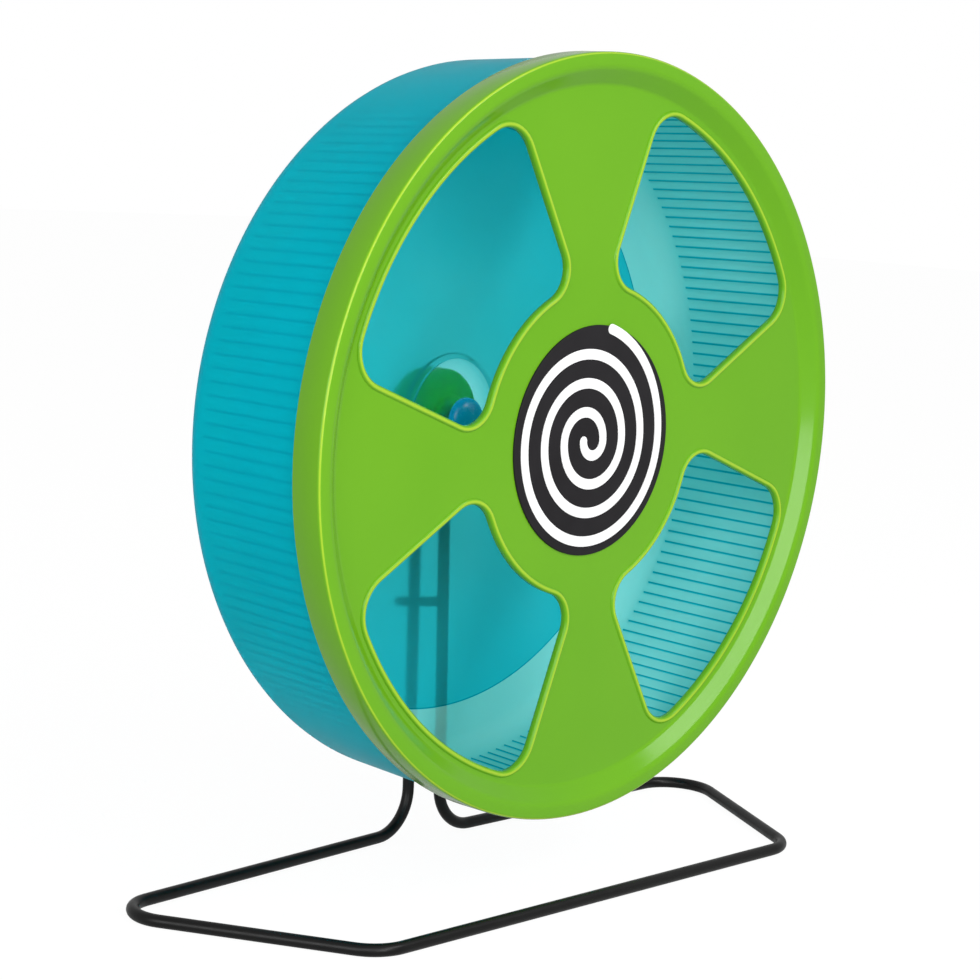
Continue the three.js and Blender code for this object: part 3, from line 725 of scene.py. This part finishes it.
# %% Spiral stripe
STRIPE_PITCH = 10.6
STRIPE_WIDTH = 3.8
STRIPE_THICKNESS = 0.2
STRIPE_OUTER_RADIUS = 37.2
STRIPE_TURNS = 3
STRIPE_START = math.radians(74)
STRIPE_STEPS = 60
END_STEPS = 12
SIDEWAYS = Vector((-STRIPE_PITCH / 2 * MM, 0, 0))


def sweep(bm, section, centre, angle, steps):
    """Spins the section about a centre, clockwise as seen from the front, and returns its last copy."""
    swept = bmesh.ops.spin(bm, geom=section, cent=centre, axis=AXLE_LINE, dvec=(0, 0, 0),
                           angle=angle, steps=steps, use_merge=False, use_duplicate=False)
    return swept["geom_last"]


def round_end(bm, section, centre, angle):
    """Closes the stripe's end: its outer half edge is spun about its middle."""
    middle, outer = sorted(points_in(section), key=lambda vert: (vert.co - centre).length)[1:]
    half_edge = bm.edges.get((middle, outer))
    sweep(bm, [middle, outer, half_edge], middle.co.copy(), angle, END_STEPS)


stripe_bm = bmesh.new()
stripe_back = axle + Vector((0, disc_front * MM, 0))
first_centre = stripe_back + SIDEWAYS
first_radius = STRIPE_OUTER_RADIUS + STRIPE_PITCH / 2
outward = Vector((math.cos(STRIPE_START), 0, math.sin(STRIPE_START)))
radii = [first_radius + side * STRIPE_WIDTH / 2 for side in (-1, 0, 1)]
section = [stripe_bm.verts.new(first_centre + outward * radius * MM) for radius in radii]
section += [stripe_bm.edges.new(section[:2]), stripe_bm.edges.new(section[1:3])]
first_section = list(section)
half_turns = [
    (first_centre, STRIPE_START),
    *[(stripe_back, math.pi), (first_centre, math.pi)] * STRIPE_TURNS,
    (stripe_back, math.pi),
]
for centre, angle in half_turns:
    section = sweep(stripe_bm, section, centre, angle, STRIPE_STEPS)
round_end(stripe_bm, first_section, first_centre, -math.pi)
round_end(stripe_bm, section, stripe_back, math.pi)
bmesh.ops.remove_doubles(stripe_bm, verts=stripe_bm.verts, dist=WELD)
front_copy = bmesh.ops.extrude_face_region(stripe_bm, geom=list(stripe_bm.faces))["geom"]
bmesh.ops.translate(stripe_bm, verts=points_in(front_copy), vec=(0, -STRIPE_THICKNESS * MM, 0))
bmesh.ops.recalc_face_normals(stripe_bm, faces=stripe_bm.faces)
stripe = as_piece("spiral_line", stripe_bm, white_film)
place(stripe, "wheel", "white_print", "spiral_stripe")

# %% [markdown]
# ## Bearing and its cap
# Inside the drum, a small blue dome covers the ball bearing. Its spigot enters the boss. Behind it
# sit the two races with the balls between them; they are hidden, but light through the tinted boss
# and an exploded view both show them, so they are round here and not faceted.

# %% Cap
CAP_RADIUS = 8.6
CAP_RISE = 5
CAP_RIM = 1
CAP_WALL = 1.6
BEARING_RADIUS = 6.5
SPIGOT_WALL = 0.8
FIT_GAP = 0.3
DOME_STEPS = 12
CAP_TURN_STEPS = 96
dome_points = []
for step in range(DOME_STEPS + 1):
    angle = math.pi / 2 * step / DOME_STEPS
    dome_points.append((CAP_RADIUS * math.sin(angle),
                        BOSS_FRONT - CAP_RIM - (CAP_RISE - CAP_RIM) * math.cos(angle)))
cap = as_piece("bearing_cap", turn([
    *dome_points,
    (CAP_RADIUS, BOSS_FRONT),
    (BEARING_RADIUS, BOSS_FRONT),
    (BEARING_RADIUS, BEARING_FRONT - FIT_GAP),
    (BEARING_RADIUS - SPIGOT_WALL, BEARING_FRONT - FIT_GAP),
    (BEARING_RADIUS - SPIGOT_WALL, BOSS_FRONT - CAP_RIM),
    (0, BOSS_FRONT - CAP_RISE + CAP_WALL),
], CAP_TURN_STEPS, closed=False), blue_plastic)
place(cap, "wheel", "blue_plastic", "hub_cap")

# %% Races and balls
BOLT_RADIUS = 2
BORE_RADIUS = BOLT_RADIUS + FIT_GAP
RACE_WALL = 1.35
BALL_RADIUS = 1.05
BALL_COUNT = 7
BALL_PITCH_RADIUS = 4.25
RACE_ROUND = 0.2
GROOVE_STEPS = 10
RACE_TURN_STEPS = 72
BALL_DETAIL = 3
bearing_middle = (BEARING_FRONT + BEARING_BACK) / 2
groove_radius = BALL_RADIUS + FIT_GAP


def race_profile(track, plain, groove_side):
    """Section of a race: a groove on its track side and rounded corners on its plain side."""
    reach = math.degrees(math.acos(abs(track - BALL_PITCH_RADIUS) / groove_radius))
    middle = 0 if groove_side > 0 else 180
    corner = RACE_ROUND * groove_side
    return [
        (plain - corner, BEARING_FRONT),
        (track, BEARING_FRONT),
        *arc(BALL_PITCH_RADIUS, bearing_middle, groove_radius,
             middle - reach * groove_side, middle + reach * groove_side, GROOVE_STEPS),
        (track, BEARING_BACK),
        (plain - corner, BEARING_BACK),
        (plain, BEARING_BACK - RACE_ROUND),
        (plain, BEARING_FRONT + RACE_ROUND),
    ]


outer_race = as_piece("outer_race", turn(
    race_profile(BEARING_RADIUS - RACE_WALL, BEARING_RADIUS, 1), RACE_TURN_STEPS), bright_steel)
place(outer_race, "wheel", "bearing_steel", "bearing_outer_race")
inner_race = as_piece("inner_race", turn(
    race_profile(BORE_RADIUS + RACE_WALL, BORE_RADIUS, -1), RACE_TURN_STEPS), bright_steel)
place(inner_race, "stand", "bearing_steel", "bearing_inner_race")
for index in range(BALL_COUNT):
    node = f"bearing_ball_{index + 1}"
    low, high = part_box(node)
    ball_bm = bmesh.new()
    bmesh.ops.create_icosphere(ball_bm, subdivisions=BALL_DETAIL, radius=BALL_RADIUS * MM,
                               matrix=Matrix.Translation((low + high) / 2))
    ball = as_piece(f"steel_ball_{index + 1}", ball_bm, bright_steel)
    place(ball, "cage", "bearing_steel", node)

# %% [markdown]
# The cage between the balls never shows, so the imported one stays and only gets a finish.

# %% Cage
cage = frame["nodes"]["bearing_cage"]
cage.data.materials.clear()
cage.data.materials.append(zinc_plate)
print("cage finish", zinc_plate.name)

# %% [markdown]
# ## Axle hardware
# The wheel hangs on one bolt. From the front: a hexagon head against the bearing's inner race, a
# sleeve that keeps the drum off the clamp, and a washer and a lock nut in the clamp's pocket. A
# hexagon is a six-sided cone of one radius, and a bevel on its rim edges gives the usual chamfer.

# %% Hardware sizes
HEAD_FLATS = 7
HEAD_HEIGHT = 2.8
HEX_SIDES = 6
HEX_CHAMFER = 0.35
SLEEVE_RADIUS = 3.6
CLAMP_FRONT_FACE = 80.2
CLAMP_SPLIT = 86.7
CLAMP_REAR_START = 87
CLAMP_BACK = 100
NUT_SEAT = 95.4
WASHER_RADIUS = 4.5
WASHER_THICKNESS = 0.8
NUT_HEIGHT = 5
BOLT_STICK_OUT = 1
BOLT_CHAMFER = 0.4
BOLT_TURN_STEPS = 48
SMALL_TURN_STEPS = 64


def hexagon(bm, flats, front, back):
    """A hexagonal prism on the axle with its rim edges chamfered."""
    middle = axle + Vector((0, (front + back) / 2 * MM, 0))
    half_side = math.pi / HEX_SIDES
    turned = Matrix.Rotation(math.pi / 2, 4, "X") @ Matrix.Rotation(half_side, 4, "Z")
    radius = flats / 2 / math.cos(half_side) * MM
    made = bmesh.ops.create_cone(bm, cap_ends=True, segments=HEX_SIDES, radius1=radius,
                                 radius2=radius, depth=(back - front) * MM,
                                 matrix=Matrix.Translation(middle) @ turned)
    rims = {edge for vert in made["verts"] for edge in vert.link_edges
            if abs((edge.verts[0].co - edge.verts[1].co).y) < WELD}
    bmesh.ops.bevel(bm, geom=list(rims), affect="EDGES", offset=HEX_CHAMFER * MM, segments=2,
                    profile=0.5, material=-1)


# %% Bolt
bolt_end = NUT_SEAT + WASHER_THICKNESS + NUT_HEIGHT + BOLT_STICK_OUT
bolt_bm = turn([
    (0, BEARING_FRONT - HEAD_HEIGHT / 2),
    (BOLT_RADIUS, BEARING_FRONT - HEAD_HEIGHT / 2),
    (BOLT_RADIUS, bolt_end - BOLT_CHAMFER),
    (BOLT_RADIUS - BOLT_CHAMFER, bolt_end),
    (0, bolt_end),
], BOLT_TURN_STEPS, closed=False)
hexagon(bolt_bm, HEAD_FLATS, BEARING_FRONT - HEAD_HEIGHT, BEARING_FRONT)
bolt = as_piece("hex_bolt", bolt_bm, zinc_plate)
place(bolt, "stand", "zinc_steel", "axle_bolt")

# %% Sleeve and washer
EDGE_BREAK = 0.15


def collar(inner, outer, front, back):
    """Section of a ring with its outer edges broken."""
    return [
        (inner, front),
        (outer - EDGE_BREAK, front),
        (outer, front + EDGE_BREAK),
        (outer, back - EDGE_BREAK),
        (outer - EDGE_BREAK, back),
        (inner, back),
    ]


sleeve = as_piece("sleeve", turn(
    collar(BORE_RADIUS, SLEEVE_RADIUS, BEARING_BACK, CLAMP_FRONT_FACE), SMALL_TURN_STEPS), zinc_plate)
place(sleeve, "stand", "zinc_steel", "spacer_sleeve")
nut_front = NUT_SEAT + WASHER_THICKNESS
washer = as_piece("washer", turn(
    collar(BORE_RADIUS, WASHER_RADIUS, NUT_SEAT, nut_front), SMALL_TURN_STEPS), zinc_plate)
place(washer, "stand", "zinc_steel", "rear_washer")

# %% [markdown]
# A lock nut is a hexagon with a round collar crimped over a nylon ring. The ring grips the thread,
# so the nut holds its place without being tight against the turning parts.

# %% Lock nut
NUT_COLLAR = 1.4
NYLON_RADIUS = 2.9
NYLON_SUNK = 0.3
CRIMP_DEPTH = 0.6
CRIMP_ROUND = 0.55
CRIMP_STEPS = 5
nut_back = nut_front + NUT_HEIGHT
nut_bm = bmesh.new()
hexagon(nut_bm, HEAD_FLATS, nut_front, nut_back - NUT_COLLAR)
nut = as_piece("nut_body", nut_bm, zinc_plate)
place(nut, "stand", "zinc_steel", "lock_nut")
crimp = as_piece("nut_collar", turn([
    (NYLON_RADIUS, nut_back - NUT_COLLAR),
    (HEAD_FLATS / 2 - EDGE_BREAK, nut_back - NUT_COLLAR),
    *arc(NYLON_RADIUS, nut_back - CRIMP_DEPTH, CRIMP_ROUND, 0, 90, CRIMP_STEPS),
], SMALL_TURN_STEPS), zinc_plate)
place(crimp, "stand", "zinc_steel")
insert = as_piece("nut_insert", turn([
    (BOLT_RADIUS, nut_back - NUT_COLLAR),
    (NYLON_RADIUS, nut_back - NUT_COLLAR),
    (NYLON_RADIUS, nut_back - NYLON_SUNK),
    (BOLT_RADIUS, nut_back - NYLON_SUNK),
], SMALL_TURN_STEPS), nylon)
place(insert, "stand", "zinc_steel")

# %% [markdown]
# ## Clamp
# Behind the drum, two round blocks of green plastic clamp the eye of the wire and carry the bolt.
# Through the tinted back wall they show as a soft dark green disc. Both are turned, with rounded
# rims, and the rear one is a dome with a pocket for the nut.

# %% Clamp halves
CLAMP_RADIUS = 18.5
CLAMP_ROUND = 2
CLAMP_SHOULDER = 3
POCKET_RADIUS = 5.6
POCKET_ROUND = 0.6
CLAMP_TURN_STEPS = 128
CLAMP_ROUND_STEPS = 8
CLAMP_DOME_STEPS = 20
front_half = as_piece("clamp_front_half", turn([
    (BORE_RADIUS, CLAMP_FRONT_FACE),
    *arc(CLAMP_RADIUS - CLAMP_ROUND, CLAMP_FRONT_FACE + CLAMP_ROUND, CLAMP_ROUND,
         -90, 0, CLAMP_ROUND_STEPS),
    (CLAMP_RADIUS, CLAMP_SPLIT),
    (BORE_RADIUS, CLAMP_SPLIT),
], CLAMP_TURN_STEPS), clamp_green_painted_light)
place(front_half, "stand", "green_plastic", "clamp_front")

rear_points = []
shoulder = CLAMP_REAR_START + CLAMP_SHOULDER
dome_reach = math.acos((POCKET_RADIUS + POCKET_ROUND) / CLAMP_RADIUS)
for step in range(CLAMP_DOME_STEPS + 1):
    angle = dome_reach * step / CLAMP_DOME_STEPS
    rear_points.append((CLAMP_RADIUS * math.cos(angle),
                        shoulder + (CLAMP_BACK - shoulder) * math.sin(angle)))
lip_depth = rear_points[-1][1]
rear_half = as_piece("clamp_rear_half", turn([
    (BORE_RADIUS, CLAMP_REAR_START),
    (CLAMP_RADIUS, CLAMP_REAR_START),
    *rear_points,
    (POCKET_RADIUS, lip_depth - POCKET_ROUND / 2),
    (POCKET_RADIUS, NUT_SEAT),
    (BORE_RADIUS, NUT_SEAT),
], CLAMP_TURN_STEPS), clamp_green_painted_light)
place(rear_half, "stand", "green_plastic", "clamp_rear")

# %% [markdown]
# ## Stand
# One wire makes the whole stand. It runs round the base loop, turns up at two feet close together,
# and closes over the axle as an eye. A curve with a round bevel follows such a route best: its
# corners are arcs of the real bending radius, and the tube closes on itself without a seam. The eye
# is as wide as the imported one, whose wire has twelve flat sides and needs room for its corners.

# %% Wire route
WIRE_RADIUS = 2.3
PACKED_SIDES = 12
EYE_RADIUS = BORE_RADIUS + WIRE_RADIUS / math.cos(math.pi / PACKED_SIDES)
EYE_FRONT = 83.9
EYE_SPREAD = 5.7
FOOT_BEND = 17
CORNER_BEND = 17
BACK_LEFT_BEND = 14
BACK_HALF_WIDTH = 162.9
BACK_DEPTH = 75.4
FRONT_LEFT = (-113.1, -13.9)
FRONT_RIGHT = (109.3, -19.6)
LEFT_FOOT = (-1.8, 85.4)
RIGHT_FOOT = (9.5, 79)
BEND_STEPS = 14
EYE_STEPS = 24


def on_floor(across, depth):
    """A point of the wire's centre line where the wire lies on the floor."""
    return Vector((axle.x + across * MM, axle.y + depth * MM, WIRE_RADIUS * MM))


def eye_point(angle):
    """A point of the eye, which also winds from one upright's depth to the other's."""
    depth = EYE_FRONT + EYE_SPREAD * (1 - math.cos(angle)) / 2
    return axle + Vector((EYE_RADIUS * math.cos(angle), depth, EYE_RADIUS * math.sin(angle))) * MM


def bend(before, corner, after, radius):
    """Points of the arc that takes a corner's place."""
    arriving = (corner - before).normalized()
    leaving = (after - corner).normalized()
    angle = arriving.angle(leaving)
    begin = corner - arriving * radius * MM * math.tan(angle / 2)
    normal = arriving.cross(leaving).normalized()
    centre = begin + normal.cross(arriving) * radius * MM
    angles = [angle * step / BEND_STEPS for step in range(BEND_STEPS + 1)]
    return [centre + Matrix.Rotation(a, 3, normal) @ (begin - centre) for a in angles]


front_left = on_floor(*FRONT_LEFT)
front_right = on_floor(*FRONT_RIGHT)
back_left = on_floor(-BACK_HALF_WIDTH, BACK_DEPTH)
back_right = on_floor(BACK_HALF_WIDTH, BACK_DEPTH)
foot_left = on_floor(*LEFT_FOOT)
foot_right = on_floor(*RIGHT_FOOT)
eye_right = eye_point(0)
eye_left = eye_point(math.pi)
route = [
    *bend(front_left, front_right, back_right, CORNER_BEND),
    *bend(front_right, back_right, foot_right, CORNER_BEND),
    *bend(back_right, foot_right, eye_right, FOOT_BEND),
    *[eye_point(math.pi * step / EYE_STEPS) for step in range(EYE_STEPS + 1)],
    *bend(eye_left, foot_left, back_left, FOOT_BEND),
    *bend(foot_left, back_left, front_left, BACK_LEFT_BEND),
    *bend(back_left, front_left, front_right, CORNER_BEND),
]
print("route", len(route), "points")

# %% Wire
WIRE_DETAIL = 8
WIRE_SHARP = math.radians(80)
curve = bpy.data.curves.new("wire_route", "CURVE")
curve.dimensions = "3D"
curve.bevel_depth = WIRE_RADIUS * MM
curve.bevel_resolution = WIRE_DETAIL
spline = curve.splines.new("POLY")
spline.points.add(len(route) - 1)
for point, position in zip(spline.points, route):
    point.co = (*position, 1)
spline.use_cyclic_u = True
guide = bpy.data.objects.new("wire_guide", curve)
bpy.context.scene.collection.objects.link(guide)
bpy.context.view_layer.update()
tube = bpy.data.meshes.new_from_object(guide.evaluated_get(bpy.context.evaluated_depsgraph_get()))
bpy.data.objects.remove(guide)
wire_bm = bmesh.new()
wire_bm.from_mesh(tube)
bmesh.ops.remove_doubles(wire_bm, verts=wire_bm.verts, dist=WELD)
bmesh.ops.recalc_face_normals(wire_bm, faces=wire_bm.faces)
wire = as_piece("bent_wire", wire_bm, black_coat, WIRE_SHARP)
place(wire, "stand", "black_coat", "stand_wire")

# %% [markdown]
# A short bar is welded across the back of the two uprights to keep them together. Its ends are
# rounded over, and each weld is a small puddle of metal that the coating covers.

# %% Cross bar and welds
BAR_HEIGHT = 93.5
BAR_RADIUS = 1.9
BAR_LEFT_OVERHANG = 6
BAR_RIGHT_OVERHANG = 2
BAR_ROUND = 0.9
BAR_SIDES = 32
BAR_SHARP = math.radians(50)
WELD_THICKNESS = 0.3
BAR_OFFSET = WIRE_RADIUS + BAR_RADIUS + WELD_THICKNESS
WELD_SHAPE = (2.1, 1.6, 2.4, 1)
WELD_DETAIL = 4


def upright_at(foot, top):
    """The point of an upright's centre line at the bar's height."""
    share = (BAR_HEIGHT * MM - foot.z) / (top.z - foot.z)
    return foot.lerp(top, share)


left_upright = upright_at(foot_left, eye_left)
right_upright = upright_at(foot_right, eye_right)
along_bar = (right_upright - left_upright).normalized()
backwards = Vector((0, 0, 1)).cross(along_bar).normalized()
bar_start = left_upright - along_bar * BAR_LEFT_OVERHANG * MM + backwards * BAR_OFFSET * MM
bar_end = right_upright + along_bar * BAR_RIGHT_OVERHANG * MM + backwards * BAR_OFFSET * MM
bar_bm = bmesh.new()
bar_turn = Vector((0, 0, 1)).rotation_difference(along_bar).to_matrix().to_4x4()
bmesh.ops.create_cone(bar_bm, cap_ends=True, segments=BAR_SIDES, radius1=BAR_RADIUS * MM,
                      radius2=BAR_RADIUS * MM, depth=(bar_end - bar_start).length,
                      matrix=Matrix.Translation((bar_start + bar_end) / 2) @ bar_turn)
rims = [edge for edge in bar_bm.edges if any(len(face.verts) > 4 for face in edge.link_faces)]
bmesh.ops.bevel(bar_bm, geom=rims, affect="EDGES", offset=BAR_ROUND * MM, segments=4,
                profile=0.5, material=-1)
bar = as_piece("welded_bar", bar_bm, black_coat, BAR_SHARP)
place(bar, "stand", "black_coat", "cross_bar")

for side, upright in (("left", left_upright), ("right", right_upright)):
    weld_bm = bmesh.new()
    spot = upright + backwards * WIRE_RADIUS * MM
    lie = Matrix.Translation(spot) @ bar_turn @ Matrix.Diagonal(WELD_SHAPE)
    bmesh.ops.create_icosphere(weld_bm, subdivisions=WELD_DETAIL, radius=MM, matrix=lie)
    weld = as_piece(f"weld_{side}", weld_bm, black_coat)
    place(weld, "stand", "black_coat")

# %% [markdown]
# ## Camera
# The camera stands where the photograph was taken from: to the left of the wheel and a little above
# it, rolled a few degrees. Its place is given from the axle's front end, so it follows the frame.

# %% Camera
PICTURE_SIDE = 980
FOCAL_PIXELS = 2400
SENSOR = 36
VIEW_REACH = 20
CAMERA_PLACE = Vector((-666, -558.1, 100.6))
AZIMUTH = math.radians(-47.43)
PITCH = math.radians(7.91)
ROLL = math.radians(3.5)
back = Vector((math.sin(AZIMUTH) * math.cos(PITCH), -math.cos(AZIMUTH) * math.cos(PITCH), math.sin(PITCH)))
level_right = Vector((math.cos(AZIMUTH), math.sin(AZIMUTH), 0))
level_up = back.cross(level_right)
right = level_right * math.cos(ROLL) + level_up * math.sin(ROLL)
up = level_up * math.cos(ROLL) - level_right * math.sin(ROLL)
camera_data = bpy.data.cameras.new("camera")
camera_data.sensor_width = SENSOR
camera_data.lens = SENSOR * FOCAL_PIXELS / PICTURE_SIDE
camera_data.clip_end = VIEW_REACH
camera = bpy.data.objects.new("camera", camera_data)
bpy.context.scene.collection.objects.link(camera)
turned = Matrix((right, up, back)).transposed().to_4x4()
camera.matrix_world = Matrix.Translation(axle + CAMERA_PLACE * MM) @ turned
bpy.context.scene.camera = camera
print("camera", [round(value, 3) for value in camera.matrix_world.translation])

# %% [markdown]
# ## Floor, light and background
# The photograph is a plain studio shot on white. The camera sees the floor and the surroundings as
# white, also through the plastic, while the floor's share that takes light keeps the object's soft
# shadow. In reflections both are pale grey, because the photographed plastic mirrors little white.

# %% What each kind of ray sees
def seen_white(tree, camera, glossy, transmission):
    """How white each kind of ray sees a surface; the rays that gather the light give zero."""
    path = tree.nodes.new("ShaderNodeLightPath")
    seen = None
    for kind, share in (("Camera", camera), ("Glossy", glossy), ("Transmission", transmission)):
        part = tree.nodes.new("ShaderNodeMath")
        part.operation = "MULTIPLY"
        part.inputs[1].default_value = share
        tree.links.new(path.outputs[f"Is {kind} Ray"], part.inputs[0])
        most = tree.nodes.new("ShaderNodeMath")
        most.operation = "MAXIMUM"
        most.inputs[1].default_value = 0
        tree.links.new(part.outputs["Value"], most.inputs[0])
        if seen:
            tree.links.new(seen, most.inputs[1])
        seen = most.outputs["Value"]
    return seen


# %% Floor
FLOOR_HALF = 6
SHOWN_WHITE = 0.85
MIRRORED_WHITE = 0.35
FLOOR_STRENGTH = 1.12
FLOOR_GREY = 0.5
floor_bm = bmesh.new()
bmesh.ops.create_grid(floor_bm, x_segments=1, y_segments=1, size=FLOOR_HALF)
floor_material, floor_shader = new_finish("studio_floor", roughness=0.9, specular=0.1)
floor_shader.inputs["Base Color"].default_value = (FLOOR_GREY, FLOOR_GREY, FLOOR_GREY, 1)
floor_tree = floor_shader.id_data
white = floor_tree.nodes.new("ShaderNodeEmission")
white.inputs["Strength"].default_value = FLOOR_STRENGTH
blend = floor_tree.nodes.new("ShaderNodeMixShader")
floor_seen = seen_white(floor_tree, SHOWN_WHITE, MIRRORED_WHITE, SHOWN_WHITE)
floor_tree.links.new(floor_seen, blend.inputs["Fac"])
floor_tree.links.new(floor_shader.outputs["BSDF"], blend.inputs[1])
floor_tree.links.new(white.outputs["Emission"], blend.inputs[2])
floor_tree.links.new(blend.outputs["Shader"], floor_tree.nodes["Material Output"].inputs["Surface"])
floor = as_piece("studio_floor", floor_bm, floor_material)

# %% World
WORLD_LIGHT = 0.45
MIRRORED_SKY = 0.3
world = bpy.data.worlds.new("studio")
bpy.context.scene.world = world
world.use_nodes = True
sky = world.node_tree.nodes["Background"]
sky.inputs["Color"].default_value = (1, 1, 1, 1)
strength = world.node_tree.nodes.new("ShaderNodeMapRange")
strength.inputs["To Min"].default_value = WORLD_LIGHT
strength.inputs["To Max"].default_value = 1
sky_seen = seen_white(world.node_tree, 1, MIRRORED_SKY, 1)
world.node_tree.links.new(sky_seen, strength.inputs["Value"])
world.node_tree.links.new(strength.outputs["Result"], sky.inputs["Strength"])
print("world light", WORLD_LIGHT)

# %% [markdown]
# Two long narrow lamps hang where the ring's slope mirrors them into the camera, and give its lower
# right the crisp pale band of the photograph. Two large softboxes on the left fill the windows and
# light the skirt and the drum's wall.

# %% Lights
def softbox(name, offset, width, height, power, lean=0):
    """A rectangular lamp that looks at the axle; offset is in metres from there, lean in degrees."""
    data = bpy.data.lights.new(name, "AREA")
    data.shape = "RECTANGLE"
    data.size = width
    data.size_y = height
    data.energy = power
    light = bpy.data.objects.new(name, data)
    bpy.context.scene.collection.objects.link(light)
    position = axle + Vector(offset)
    aim = (axle - position).to_track_quat("-Z", "Y")
    turned = aim.to_matrix().to_4x4() @ Matrix.Rotation(math.radians(lean), 4, "Z")
    light.matrix_world = Matrix.Translation(position) @ turned
    print(name, power, "watts")


softbox("strip_left", (-0.34, -1.29, 0.29), width=1.06, height=0.32, power=7.4, lean=65)
softbox("strip_top", (0.3, -1.04, 0.85), width=0.84, height=0.3, power=5.4, lean=14)
softbox("front_left", (-1.15, -1.15, 0.55), width=0.9, height=1, power=8)
softbox("left", (-1.5, -0.3, 0.1), width=0.8, height=1, power=9)
bpy.context.scene.view_settings.view_transform = "Standard"
